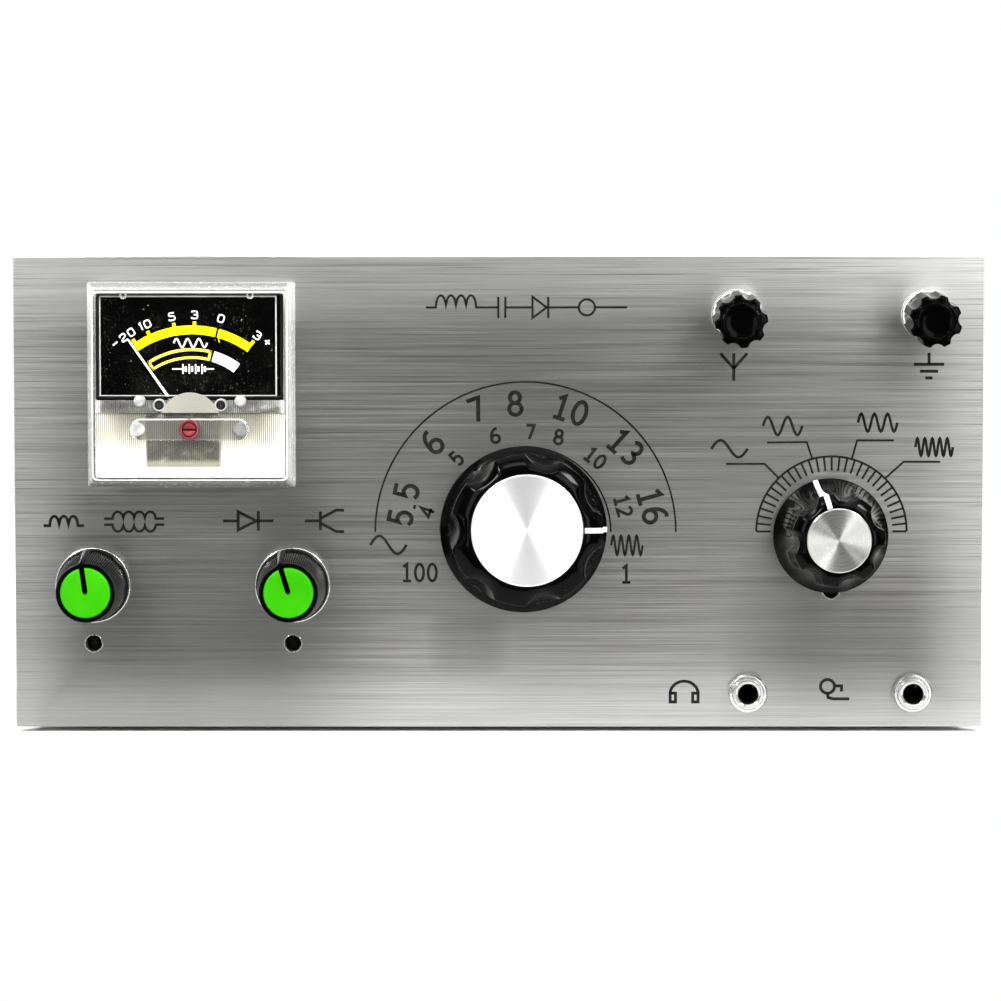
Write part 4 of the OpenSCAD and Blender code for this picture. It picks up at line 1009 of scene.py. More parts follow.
# title place: a plain row of circuit symbols on one line: coil, capacitor, diode, earpiece
ttl = sketch("ttl", -14.3, 25.5, 33.9, 39.9, [
    [(0.0, 0.45)] + humps(0.05, 0.25, 0.45, 0.4, 4) + [(0.36, 0.45)],
    [(0.36, 0.1), (0.36, 0.8)], [(0.395, 0.1), (0.395, 0.8)], [(0.395, 0.45), (0.53, 0.45)],
    [(0.53, 0.8), (0.53, 0.1), (0.60, 0.45), (0.53, 0.8)], [(0.608, 0.1), (0.608, 0.8)], [(0.608, 0.45), (0.76, 0.45)],
    ring_pts(0.80, 0.45, 0.04, 0.265, 0, 360, 28), [(0.84, 0.45), (1.0, 0.45)],
], 0.46)
join("panel_title_symbols", ttl)

# ---------------------------------------------------------------- tuning knob

TX, TV = TUNE
TLOBE = dict(n=7, fr=5.4, a0=360 / 14)


def lean_t(h):
    """The knob sits a little askew on its shaft: skirt low and left, face high and right."""
    t = (h - 1.5) / 14.5
    return (-0.32 + 0.76 * t, 0.88 * t)



def tune_r(th, kind, r, h):
    """Surface of the fluted body: the hollows are deep at the front edge and run out towards the skirt."""
    if kind == "body":
        t = min(1, max(0, (h - 3.2) / 10.6))
        return lobes(th, r, TLOBE["n"], 1.75 * t ** 0.62, TLOBE["fr"], TLOBE["a0"], 0.14)
    if kind == "top":
        # from the fluted outline inwards to the round rim: s in r
        edge = lobes(th, 14.95, TLOBE["n"], 1.75, TLOBE["fr"], TLOBE["a0"], 0.14)
        return edge + (11.45 - edge) * r
    return r


prof_t = []                                     # (kind, r, h)
for r, h in rounded([(3.02, 14.0), (3.02, 4.6), (8.2, 4.6), (8.2, 0.7), (16.5, 0.7, 0.2), (16.5, 1.9, 0.3), (15.6, 2.7, 0.15), (15.16, 3.2)], 4):
    prof_t.append(("round", r, h))
for i in range(9):
    prof_t.append(("body", 15.12 - 0.15 * i / 8, 3.3 + (13.9 - 3.3) * i / 8))
for s, h in ((0.0, 14.12), (0.035, 14.3), (0.12, 14.55), (0.25, 14.88), (0.4, 15.22), (0.55, 15.52), (0.7, 15.76), (0.85, 15.93), (0.95, 15.99), (1.0, 16.0)):
    prof_t.append(("top", s, h))
for r, h in ((11.3, 15.98), (11.15, 15.85), (11.1, 15.2), (0, 15.2)):
    prof_t.append(("round", r, h))


def fluted_knob(name, x, v, prof, fn, node, n=336, lean=None):
    o = lathe(name, x, v, [(r if k == "round" else max(r, 1e-3), h) for k, r, h in [(prof[0][0], 0, prof[0][2])] + prof], {"tuning_knob": "tuning", "band_knob": "band_selector"}[node], m_bakelite,
              n=n, radius=lambda th, k, r: fn(th, prof[k - 1][0], prof[k - 1][1], prof[k - 1][2]) if k else r, slot="black_bakelite", replaces=(node,), sharp=32, lean=lean)
    return o


fluted_knob("tuning_knob_body", TX, TV, prof_t, tune_r, "tuning_knob", lean=lean_t)
m_spun_t = turned("spun_disc_large", (0.95, 0.95, 0.95), 0.40, 0, 0, ring=2600, aniso=0.80, bump=0.0, vary=0.01, tangent=True, gloss=0.01)
lathe("tuning_disc_face", TX, TV, rounded([(0, 15.2), (10.98, 15.2), (10.98, 15.95, 0.12), (10.75, 16.1, 0.05), (0, 16.06)], 3), "tuning", m_spun_t, n=192, slot="spun_aluminium", replaces=("tuning_knob_disc",), lean=lean_t, own=True)


def surface_line(name, x, v, prof, fn, ang, width, body, first, last, lift=0.045, lean=None):
    """A painted line laid on a knob's own surface, from profile point first to last, at angle ang (degrees)."""
    pts = prof[first:last + 1]
    a0 = math.radians(ang)
    base = []
    for q, (k, r, h) in enumerate(pts):
        row = []
        for j in range(5):
            rr0 = fn(a0, k, r, h)
            d = math.asin(max(-1, min(1, (j / 4 - 0.5) * width / rr0)))
            rr = fn(a0 + d, k, r, h)
            row.append((rr, a0 + d, h))
        base.append(row)
    verts, faces = [], []
    for q, row in enumerate(base):
        p, n_ = base[max(0, q - 1)][2], base[min(len(base) - 1, q + 1)][2]
        t = Vector((n_[0] - p[0], n_[2] - p[2]))
        t = t.normalized() if t.length > 1e-9 else Vector((0, 1))
        nr, nh = t.y, -t.x                     # outwards normal in (r, h)
        if nh < 0 and nr < 0:
            nr, nh = -nr, -nh
        for layer in (lift, -0.05):
            for rr, aa, h in row:
                rad = rr + nr * layer
                lx, lv = lean(h) if lean else (0, 0)
                verts.append(P(x + lx + rad * math.cos(aa), v + lv + rad * math.sin(aa), h + nh * layer))
    w = 10
    for q in range(len(base) - 1):
        a, b = q * w, (q + 1) * w
        for j in range(4):
            faces.append((a + j, a + j + 1, b + j + 1, b + j))
            faces.append((a + 5 + j, b + 5 + j, b + 6 + j, a + 6 + j))
        faces.append((a, b, b + 5, a + 5))
        faces.append((a + 4, a + 9, b + 9, b + 4))
    for a in (0, (len(base) - 1) * w):
        for j in range(4):
            faces.append((a + j, a + 5 + j, a + 6 + j, a + j + 1))
    return obj_from(name, verts, faces, body, m_line, slot="pointer_white")


ti = [i for i, (k, r, h) in enumerate(prof_t) if k == "round" and r > 15 and h > 1.5]
surface_line("tuning_pointer_line", TX, TV, prof_t, tune_r, 0, 1.0, "tuning", ti[0], len(prof_t) - 4, lean=lean_t)

# ---------------------------------------------------------------- band knob

BKX, BKV = BAND
BA0 = 106 + 360 / 14


def lean_b(h):
    t = (h - 1.0) / 19.0
    return (-0.18 + 0.60 * t, -0.75 + 0.50 * t)



def band_r(th, kind, r, h):
    """Here the hollows are scooped down and out over the skirt."""
    if kind == "body":
        t = r                                    # 0 at the skirt, 1 at the front edge
        top = lobes(th, 9.15, 7, 1.45, 3.3, BA0, 0.16)
        crest = lobes(th, 9.15, 7, 0.0, 3.3, BA0, 0.16)
        f = (crest - top) / 1.45                 # 1 in a hollow, 0 on a crest
        flare = (1 - t) ** (6.5 - 4.2 * f)
        return top + (11.15 - top) * flare
    if kind == "top":
        edge = lobes(th, 9.1, 7, 1.45, 3.3, BA0, 0.16)
        return edge + (6.65 - edge) * r
    return r


prof_b = []
for r, h in rounded([(3.02, 18.0), (3.02, 4.4), (7.4, 4.4), (7.4, 0.7), (11.4, 0.7, 0.15), (11.4, 1.55, 0.2), (11.2, 1.75)], 3):
    prof_b.append(("round", r, h))
for i in range(19):
    t = i / 18
    prof_b.append(("body", t, 1.85 + (18.55 - 1.85) * t))
for s, h in ((0.0, 18.7), (0.06, 18.86), (0.2, 19.12), (0.38, 19.42), (0.56, 19.7), (0.74, 19.88), (0.9, 19.97), (1.0, 20.0)):
    prof_b.append(("top", s, h))
for r, h in ((6.5, 19.98), (6.42, 19.88), (6.4, 19.2), (0, 19.2)):
    prof_b.append(("round", r, h))
fluted_knob("band_knob_body", BKX, BKV, prof_b, band_r, "band_knob", n=280, lean=lean_b)
m_spun_b = turned("spun_disc_small", (0.60, 0.60, 0.585), 0.28, 0, 0, ring=5200, aniso=0.93, bump=0.003, vary=0.06, tangent=True, gloss=0.025)
lathe("band_disc_face", BKX, BKV, rounded([(0, 19.2), (6.3, 19.2), (6.3, 19.98, 0.1), (6.12, 20.1, 0.04), (0, 20.06)], 3), "band_selector", m_spun_b, n=144, slot="spun_aluminium", replaces=("band_knob_disc",), lean=lean_b, own=True)
bi = [i for i, (k, r, h) in enumerate(prof_b) if k == "round" and r > 11 and h > 1.3]
surface_line("band_pointer_line", BKX, BKV, prof_b, band_r, 106, 0.95, "band_selector", bi[0], len(prof_b) - 4, lean=lean_b)

# ---------------------------------------------------------------- small switch knobs

m_nickel = rolled("nickel", (0.62, 0.62, 0.61), 0.22, vary=0.15, bump=0.1)
KN = 88
for key, ang in (("coil", 98), ("detector", 107)):
    kx, kv = SMALL[key]
    body = key + "_selector"
    grip = rounded([(3.02, 15.0), (3.02, 4.4), (4.9, 4.4), (4.9, 2.45), (7.0, 2.45), (7.0, 0.65), (7.14, 0.65), (7.14, 1.75, 0.1), (7.24, 1.95, 0.1), (7.08, 2.9, 0.1), (6.9, 3.0, 0.05), (6.86, 3.4)], 3)
    k0 = len(grip)
    grip += [(6.86 + (5.86 - 6.86) * i / 8, 3.5 + (17.4 - 3.5) * i / 8) for i in range(9)]
    k1 = len(grip)
    grip += rounded([(5.84, 17.45), (5.80, 18.6, 0.28), (5.05, 18.6, 0.12), (5.0, 17.6), (0, 17.6)], 4)

    def knurl(th, k, r, k0=k0, k1=k1):
        if k0 < k <= k1:
            s = (th * KN / (2 * pi)) % 1.0
            tri = 1 - abs(2 * s - 1)
            return r - 0.17 + 0.24 * tri
        return r

    lathe(f"{key}_grip", kx, kv, [(0, 15.0)] + grip, body, m_knurl, n=KN * 6, radius=knurl, slot="black_knurled", replaces=(f"{key}_switch_knob",), sharp=25)
    lathe(f"{key}_edge_ring", kx, kv, rounded([(7.02, 0.6), (7.5, 0.6, 0.1), (7.5, 1.3, 0.16), (7.34, 1.55, 0.16), (7.02, 1.4)], 4, True), body, m_nickel, n=144, closed=True, slot="nickel")
    # green facing with its slot, slightly crowned
    a = math.radians(ang)
    n_ = 120
    rows = [(4.9, 17.6), (4.9, 18.55), (4.84, 18.72), (4.72, 18.82), (4.5, 18.88), (3.6, 18.93), (2.4, 18.96), (1.2, 18.98), (0, 18.98)]
    lathe(f"{key}_facing", kx, kv, [(0, 17.6)] + rows, body, m_green, n=n_, slot="green_cap", replaces=(f"{key}_switch_cap",), sharp=50)
    # black bar set in the facing, round at its inner end, with a nub on the rim and a ridge down the grip
    bar = []
    w = 0.52
    pts = [(0.35 - w * math.cos(pi * j / 12) * 1.0 if False else 0.35 - w * math.sin(pi * j / 12), w * math.cos(pi * j / 12)) for j in range(13)]
    outline = pts + [(5.2, -w), (5.5, -w), (5.5, w), (5.2, w)]
    verts = []
    ca, sa = math.cos(a), math.sin(a)
    for h, k in ((18.4, 1.0), (19.02, 1.0), (19.08, 0.86)):
        for q, s in outline:
            s2 = s * k
            verts.append(P(kx + q * ca - s2 * sa, kv + q * sa + s2 * ca, h - (0.16 * max(0, q - 4.2))))
    L = len(outline)
    faces = [tuple(range(L))[::-1], tuple(range(2 * L, 3 * L))]
    for lay in (0, 1):
        for i in range(L):
            j = (i + 1) % L
            faces.append((lay * L + i, lay * L + j, (lay + 1) * L + j, (lay + 1) * L + i))
    obj_from(f"{key}_pointer_bar", verts, faces, body, m_bakelite, slot="black_knurled")
    # nub and ridge as one lofted piece
    sec = [(5.35, 18.55, 0.55, 0.25), (5.75, 18.35, 0.62, 0.42), (6.05, 17.3, 0.55, 0.38), (6.20, 15.5, 0.5, 0.30), (6.45, 11.5, 0.6, 0.30), (6.75, 7.0, 0.72, 0.28), (7.0, 3.4, 0.85, 0.25), (7.14, 2.6, 0.9, 0.12)]
    verts, faces = [], []
    for r, h, hw, up_ in sec:
        for q, s in ((-0.45, -hw), (0.0, -hw), (up_, -0.12), (up_ + 0.06, 0), (up_, 0.12), (0.0, hw), (-0.45, hw)):
            verts.append(P(kx + (r + q) * ca - s * sa, kv + (r + q) * sa + s * ca, h))
    S = 7
    for i in range(len(sec) - 1):
        for j in range(S):
            l = (j + 1) % S
            faces.append((i * S + j, i * S + l, (i + 1) * S + l, (i + 1) * S + j))
    faces += [tuple(range(S)), tuple((len(sec) - 1) * S + j for j in reversed(range(S)))]
    obj_from(f"{key}_pointer_ridge", verts, faces, body, m_knurl, slot="black_knurled", sharp=20)

# ---------------------------------------------------------------- binding posts

for key, a0 in (("antenna", 29.5), ("ground", 3.5)):
    x, v = POSTS[key]
    m_t = turned(f"nickel_{key}", (0.95, 0.95, 0.93), 0.38, x, v, ring=1800, bump=0.10, vary=0.05)
    m_t.node_tree.nodes["Principled BSDF"].inputs["Metallic"].default_value = 0.25

    def droop(h):
        return (0.05 + 0.25 * (h - 4.6) / 17.4 * (key == "ground"), -0.1 - 0.62 * (h - 4.6) / 17.4)

    # stud with its cross hole is the CAD piece; its collar gets softened edges by a turned sleeve of the same size
    lathe(f"{key}_collar", x, v, rounded([(2.0, 1.32), (5.07, 1.32, 0.12), (5.07, 2.45, 0.22), (4.72, 2.66, 0.08), (4.62, 3.62, 0.2), (2.0, 3.72)], 5), "root", m_t, n=128, closed=True, slot="nickel")
    lathe(f"{key}_clamp_washer", x, v, rounded([(2.08, 3.76), (4.1, 3.76, 0.12), (4.1, 4.5, 0.18), (2.08, 4.5)], 4), f"{key}_clamp", m_t, n=128, closed=True, slot="nickel", replaces=(f"{key}_post_washer",))
    soft = 0.14
    pc = [("in", 2.08, 20.0), ("in", 2.08, 4.9), ("in", 2.4, 4.6), ("lobe", 5.2, 4.6), ("lobe", 5.2, 5.4), ("lobe", 5.2, 6.2), ("lobe", 5.2, 7.0), ("lobe", 5.2, 7.8), ("lobe", 5.2, 8.6), ("lobe", 5.2, 12), ("lobe", 5.2, 20.4), ("lobe", 5.12, 20.75), ("lobe", 4.95, 20.93), ("lobe", 4.75, 21.0)]
    pc += [("in", r, h) for r, h in rounded([(4.0, 21.02), (3.85, 21.05, 0.1), (3.62, 21.9, 0.12), (3.3, 22.0, 0.1), (3.05, 21.72, 0.15), (2.2, 21.5, 0.3), (0, 21.42)], 4)]

    def cap_r(th, k, r, pc=pc, a0=a0):
        if k and pc[k - 1][0] == "lobe":
            q = lobes(th, r, 8, 0.78, 1.6, a0, 0.12) if r > 4.6 else r
            return min(q, 4.45 + (pc[k - 1][2] - 4.6) * 0.2375) if pc[k - 1][2] < 8.7 else q
        return r

    lathe(f"{key}_cap_knob", x, v, [(0, 20.0)] + [(r, h) for _, r, h in pc], f"{key}_cap", m_cap, n=256, radius=cap_r, slot="black_bakelite", replaces=(f"{key}_post_cap",), sharp=38, lean=droop)

# ---------------------------------------------------------------- jacks

for key, (x, v) in JACKS.items():
    v -= 0.3
    m_t = turned(f"nickel_{key}", (0.50, 0.50, 0.49), 0.24, x, v, ring=2400, bump=0.3, vary=0.2)
    # threaded bushing of metal with a black insert
    thread = []
    for i in range(5):
        thread += [(3.0, 0.1 + 0.5 * i), (2.86, 0.35 + 0.5 * i)]
    lathe(f"{key}_bushing", x, v, [(2.24, -2.9), (2.98, -2.9), (2.98, 0.0)] + thread + rounded([(3.0, 2.62), (2.92, 2.9, 0.06), (2.44, 2.9, 0.06), (2.06, 2.62, 0.05), (2.03, 2.42), (2.24, 2.40), (2.24, 2.2)], 3), "root", m_t, n=96, closed=True, slot="nickel_jack")
    lathe(f"{key}_body", x, v, rounded([(1.8, -11.4), (2.9, -11.4), (2.9, -18.2), (4.3, -18.2, 0.2), (4.3, -3.2, 0.2), (2.14, -3.2), (2.22, -3.0), (2.22, 2.35, 0.05), (1.95, 2.05, 0.05), (1.82, 0.5)], 3), "root", m_nylon, n=72, closed=True, slot="black_nylon", replaces=(f"{key}_jack",))
nuts = []
m_nut = rolled("nickel_nut", (0.55, 0.55, 0.54), 0.24, vary=0.25, bump=0.3)
for key, (x, v) in JACKS.items():
    v -= 0.3
    prof = rounded([(3.04, 0.02), (3.9, 0.02, 0.05), (3.95, 0.4, 0.05), (3.95, 1.6, 0.05), (3.55, 2.18, 0.08), (3.12, 2.2, 0.05), (3.04, 2.1)], 3)

    def teeth(th, k, r):
        if r > 3.6:
            s = (th * 44 / (2 * pi)) % 1.0
            return r - 0.16 * (r - 3.4) / 0.55 * (0.5 - 0.5 * math.cos(2 * pi * s))
        return r

    nuts.append(lathe(f"{key}_nut", x, v, prof, "root", m_nut, n=44 * 6, closed=True, radius=teeth, slot="nickel_jack", sharp=60))
nut = join("jack_ring_nuts", nuts)
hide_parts("jack_nuts")

# ---------------------------------------------------------------- level meter


def rect_loop(x0, x1, v0, v1, r, h, seg=5):
    pts = []
    for cx, cy, a in ((x1 - r, v1 - r, 0), (x0 + r, v1 - r, 90), (x0 + r, v0 + r, 180), (x1 - r, v0 + r, 270)):
        for k in range(seg + 1):
            t = math.radians(a + 90 * k / seg)
            pts.append(P(cx + r * math.cos(t), cy + r * math.sin(t), h))
    return pts


def loft(name, loops, body, mat, shut=(True, True), **kw):
    n_ = len(loops[0])
    verts = [p for lp in loops for p in lp]
    faces = []
    for i in range(len(loops) - 1):
        for j in range(n_):
            l = (j + 1) % n_
            faces.append((i * n_ + j, i * n_ + l, (i + 1) * n_ + l, (i + 1) * n_ + j))
    if shut[0]:
        faces.append(tuple(reversed(range(n_))))
    if shut[1]:
        faces.append(tuple((len(loops) - 1) * n_ + j for j in range(n_)))
    return obj_from(name, verts, faces, body, mat, **kw)


def meter_shell():
    """Clear moulding: tapered walls with rounded edges, open at the back, with the raised bar as part of the front."""
    def ring_at(base, front, t, d, r, h):
        e0, e1, e2, e3 = (a_ + (b_ - a_) * t for a_, b_ in zip(base, front))
        return rect_loop(MX + e0 + d, MX + e1 - d, MV + e2 + d, MV + e3 - d, r, h)

    ob, of_ = (-20.85, 20.25, -20.6, 19.95), (-19.3, 19.2, -18.75, 18.5)
    ib, if_ = (-19.9, 19.3, -19.65, 19.0), (-18.85, 18.75, -18.4, 18.1)
    outer = [(0.0, 0.0, 0.0, 0.5), (0.5, 0.0, 0.0, 0.5), (0.75, 0.02, 0.04, 0.55), (3.0, 0.27, 0.0, 0.7), (9.0, 0.95, 0.0, 0.9), (9.7, 1.0, 0.02, 1.0), (9.9, 1.0, 0.12, 1.1), (10.0, 1.0, 0.30, 1.2)]
    inner = [(8.8, 1.0, 0.4, 0.9), (8.72, 1.0, 0.1, 0.85), (8.4, 1.0, 0.0, 0.8), (4.5, 0.5, 0.0, 0.6), (0.6, 0.0, 0.0, 0.4), (0.0, 0.0, 0.0, 0.4)]
    loops = [ring_at(ob, of_, t, d, r, h) for h, t, d, r in outer]
    loops_in = [ring_at(ib, if_, t, d, r, h) for h, t, d, r in inner]
    n_ = len(loops[0])
    verts = [p for lp in loops + loops_in for p in lp]
    faces = []
    no = len(loops)
    order = list(range(no))
    for i in range(no - 1):
        for j in range(n_):
            l = (j + 1) % n_
            faces.append((i * n_ + j, i * n_ + l, (i + 1) * n_ + l, (i + 1) * n_ + j))
    faces.append(tuple((no - 1) * n_ + j for j in range(n_)))            # front face
    for i in range(no, no + len(loops_in) - 1):
        for j in range(n_):
            l = (j + 1) % n_
            faces.append((i * n_ + j, i * n_ + l, (i + 1) * n_ + l, (i + 1) * n_ + j))
    faces.append(tuple(no * n_ + j for j in reversed(range(n_))))        # inner face of the front
    last = (no + len(loops_in) - 1) * n_
    for j in range(n_):                                                   # back rim
        l = (j + 1) % n_
        faces.append((j, l, last + l, last + j))
    shell = obj_from("meter_clear_cover", verts, faces, "root", m_clear, slot="clear_acrylic", sharp=30)
    # raised bar: a rounded slot shape
    bx0, bx1, bv, br = PX - 11.75, PX + 11.75, PV + 0.1, 2.15

    def slot_loop(d, h, n2=14):
        r = br - d
        pts = []
        for cx, a in ((bx1 - br, -90), (bx0 + br, 90)):
            for k in range(n2 + 1):
                t = math.radians(a + 180 * k / n2)
                pts.append(P(cx + r * math.cos(t), bv + r * math.sin(t), h))
        return pts

    bar = loft("meter_bar_tmp", [slot_loop(0, 9.6), slot_loop(0, 10.3), slot_loop(0.06, 10.48), slot_loop(0.2, 10.66), slot_loop(0.4, 10.77), slot_loop(0.65, 10.8)], "root", m_clear)
    hole = lathe("meter_hole_tmp", PX, PV + 0.1, [(0, 5), (1.3, 5), (1.3, 20), (0, 20)], "root", m_clear, n=48)
    for other, op in ((bar, "UNION"), (hole, "DIFFERENCE")):
        md = shell.modifiers.new("b", "BOOLEAN")
        md.object, md.operation, md.solver = other, op, "EXACT"
        bpy.context.view_layer.update()
        me = bpy.data.meshes.new_from_object(shell.evaluated_get(bpy.context.evaluated_depsgraph_get()))
        shell.modifiers.clear()
        old = shell.data
        shell.data = me
        bpy.data.meshes.remove(old)
        me.name = "meter_clear_cover"
        od = other.data
        bpy.data.objects.remove(other)
        bpy.data.meshes.remove(od)
    shell.data.materials.clear()
    shell.data.materials.append(m_clear)
    shell.data.materials.append(m_frost_painted_light)
    shell.data.materials.append(m_rim_painted_highlight)
    # the front edge of the walls and the top edge of the raised bar take the pale material, a painted highlight; the
    # sloping walls take the frosted one with its painted light and shade
    for p in shell.data.polygons:
        c = p.center * 1000
        h = -c.y + FY
        wall = max(abs(c.x - MX - 0.05) - 18.3, abs(c.z - MV + 0.1) - 17.8) > 0
        if wall and 9.6 < h < 9.985 and abs(p.normal.y) < 0.97:
            p.material_index = 2
        elif wall and abs(p.normal.y) < 0.9 and h < 9.95:
            p.material_index = 1
        elif not wall and 10.4 < h < 10.79 and p.normal.z > 0.5 and abs(p.normal.y) < 0.95:
            p.material_index = 2
    shade(shell, 28)
    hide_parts("meter_cover")
    shell.visible_shadow = False
    return shell


shell = meter_shell()

# window frame: a black surround with a grey printed line


def border(name, x0, x1, v0, v1, w, h, lift, mat, slot):
    a = [(x0, v0), (x1, v0), (x1, v1), (x0, v1)]
    return strip(name, [(x0 + w / 2, v0 + w / 2), (x1 - w / 2, v0 + w / 2), (x1 - w / 2, v1 - w / 2), (x0 + w / 2, v1 - w / 2)], w, "root", mat, h=h, lift=lift, closed=True, slot=slot)


# dial plate with rounded edges
loft("dial_plate", [rect_loop(MX - 18.6, MX + 18.4, MV - 3.1, MV + 18.15, 0.4, 5.4), rect_loop(MX - 18.6, MX + 18.4, MV - 3.1, MV + 18.15, 0.4, 5.94), rect_loop(MX - 18.54, MX + 18.34, MV - 3.04, MV + 18.09, 0.35, 6.0)],
     "root", m_dial, slot="dial_black", replaces=("meter_dial_plate",), sharp=40)
border("window_line", MX - 18.0, MX + 16.92, VC + 19.32, VC + 39.17, 0.28, 6.0, 0.05, m_outline, "hub_grey")
# dark bezel round the window, standing a little in front of the dial, with a bevel that catches the light
bz = []
for (x0, x1, v0, v1) in ((MX - 18.62, MX + 18.2, VC + 18.95, VC + 39.82),):
    w = 0.5
    verts, faces = [], []
    prof = [(0.0, 5.98), (0.0, 6.9), (0.12, 7.0), (w - 0.12, 7.0), (w, 6.6), (w, 5.98)]
    loops = [[(x0 + d, v0 + d), (x1 - d, v0 + d), (x1 - d, v1 - d), (x0 + d, v1 - d)] for d, _ in prof]
    for lp, (_, h) in zip(loops, prof):
        verts += [P(x, v, h) for x, v in lp]
    for i in range(len(prof)):
        k = (i + 1) % len(prof)
        for j in range(4):
            l = (j + 1) % 4
            faces.append((i * 4 + j, i * 4 + l, k * 4 + l, k * 4 + j))
    obj_from("window_bezel", verts, faces, "root", m_dark, slot="dial_black", smooth=False)

# dial print, about the pointer's pivot
H_D = 6.0
QX = PX + 0.30                  # middle of the dial's print


def band_arc(name, r0, r1, a0, a1, mat, n_=60):
    rm, w = (r0 + r1) / 2, r1 - r0
    return strip(name, arc_pts(QX, PV, rm, a0, a1, n_), w, "root", mat, h=H_D, lift=0.03)


def tick(name, r0, r1, a, w, mat):
    ca, sa = math.cos(math.radians(a)), math.sin(math.radians(a))
    return strip(name, [(QX + r0 * ca, PV + r0 * sa), (QX + r1 * ca, PV + r1 * sa)], w, "root", mat, h=H_D, lift=0.03)


K = 1 / 1.007
ye = [band_arc("y1", 18.78 * K, 20.5 * K, 124.3, 76.1, m_yellow), band_arc("y2", 18.78 * K, 20.5 * K, 74.8, 54.3, m_yellow, 30)]
for i, a in enumerate((123.4, 114.4, 99.8, 88.6, 55.0)):
    ye.append(tick(f"yt{i}", 20.4 * K, 21.3 * K, a, 0.66, m_yellow))
ye.append(strip("yt9", [(QX + 5.1, PV + 18.1), (QX + 5.42, PV + 17.0)], 0.16, "root", m_yellow, h=H_D, lift=0.03))
join("dial_yellow_band", ye)
pa = [band_arc("q1", 15.45 * K, 16.0 * K, 123.7, 75.7, m_pale), band_arc("q2", 13.9 * K, 14.4 * K, 123.7, 75.7, m_pale),
      tick("q3", 13.9 * K, 16.0 * K, 76.5, 0.5, m_pale), tick("q4", 13.9 * K, 16.0 * K, 122.9, 0.45, m_pale)]
join("dial_outlined_band", pa)
wh = [band_arc("w1", 13.9 * K, 16.0 * K, 73.8, 53.7, m_dwhite, 30)]


def at(r, a):
    return QX + r * math.cos(math.radians(a)), PV + r * math.sin(math.radians(a))


for t, a in (("20", 124.5), ("10", 114.3), ("5", 100.2), ("3", 88.6), ("0", 75.2), ("3", 54.9)):
    x, v = at(22.45, a)
    wh += number(t, x, v, 1.68, a - 90, h=H_D, mat=m_dwhite, stroke=0.26, style=SQUARE, gap=0.22, wide=1.32)
x, v = at(22.6, 132.0)
ca, sa = math.cos(math.radians(40)), math.sin(math.radians(40))
wh.append(strip("minus", [(x - 0.55 * ca, v - 0.55 * sa), (x + 0.55 * ca, v + 0.55 * sa)], 0.3, "root", m_dwhite, h=H_D))
x, v = at(22.6, 49.0)
for k, a in enumerate((-41, 49)):
    ca, sa = math.cos(math.radians(a)), math.sin(math.radians(a))
    wh.append(strip(f"plus{a}", [(x - 0.55 * ca, v - 0.55 * sa), (x + 0.55 * ca, v + 0.55 * sa)], 0.3, "root", m_dwhite, h=H_D + 0.001 * k))
# plain signs in place of words: a wave above, a battery of four cells below
wh.append(strip("wave", [(PX - 3.3 + 6.6 * i / 60, PV + 16.9 + 0.85 * math.sin(2 * pi * i / 20)) for i in range(61)], 0.32, "root", m_dwhite, h=H_D))
for j in range(4):
    xx = PX - 1.5 + 1.25 * j
    wh.append(strip(f"cell{j}a", [(xx, PV + 10.85), (xx, PV + 12.75)], 0.26, "root", m_dwhite, h=H_D))
    wh.append(strip(f"cell{j}b", [(xx + 0.55, PV + 11.3), (xx + 0.55, PV + 12.3)], 0.42, "root", m_dwhite, h=H_D))
for j, (xa, xb) in enumerate(((-3.6, -1.6), (2.9, 4.6))):
    wh.append(strip(f"lead{j}", [(PX + xa, PV + 11.8), (PX + xb, PV + 11.8)], 0.26, "root", m_dwhite, h=H_D + 0.001))
join("dial_white_print", wh)

# cream lower half: a ribbed front on a flat back, with the bosses and screw holes beside the hub
def mask():
    x0, x1, v0, v1 = MX - 18.7, MX + 18.6, MV - 18.25, MV - 3.4
    pitch, sub = 0.375, 6
    cols = int((x1 - x0) / pitch) * sub
    bm = bmesh.new()
    zs = [v0, v0 + 0.15] + [v0 + (v1 - v0) * k / 6 for k in range(1, 6)] + [v1 - 0.12, v1]
    grid = []
    for zi, z in enumerate(zs):
        row = []
        for i in range(cols + 1):
            x = x0 + (x1 - x0) * i / cols
            amp = 0.0 if zi in (0, len(zs) - 1) else 0.055
            row.append(bm.verts.new(P(x, z, 8.12 + amp * math.cos(2 * pi * i / sub) - (0.12 if zi in (0, len(zs) - 1) else 0))))
        grid.append(row)
    for a, b in zip(grid, grid[1:]):
        for i in range(cols):
            bm.faces.new((a[i], a[i + 1], b[i + 1], b[i]))
    back = [[bm.verts.new(P(x, z, 7.4)) for x in (x0, x1)] for z in (v0, v1)]
    bm.faces.new((back[0][0], back[0][1], back[1][1], back[1][0]))
    bm.faces.new(list(grid[0]) + [back[0][1], back[0][0]])
    bm.faces.new(list(grid[-1]) + [back[1][1], back[1][0]])
    bm.faces.new([r[0] for r in grid] + [back[1][0], back[0][0]])
    bm.faces.new([r[-1] for r in grid] + [back[1][1], back[0][1]])
    bmesh.ops.recalc_face_normals(bm, faces=bm.faces)
    me = bpy.data.meshes.new("meter_cream_mask")
    bm.to_mesh(me)
    bm.free()
    me.materials.append(m_cream)
    o = bpy.data.objects.new("meter_cream_mask", me)
    scene.collection.objects.link(o)
    me.shade_smooth()
    me.set_sharp_from_angle(angle=math.radians(60))
    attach(o, "root")
    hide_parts("meter_mask")
    return o


mask()


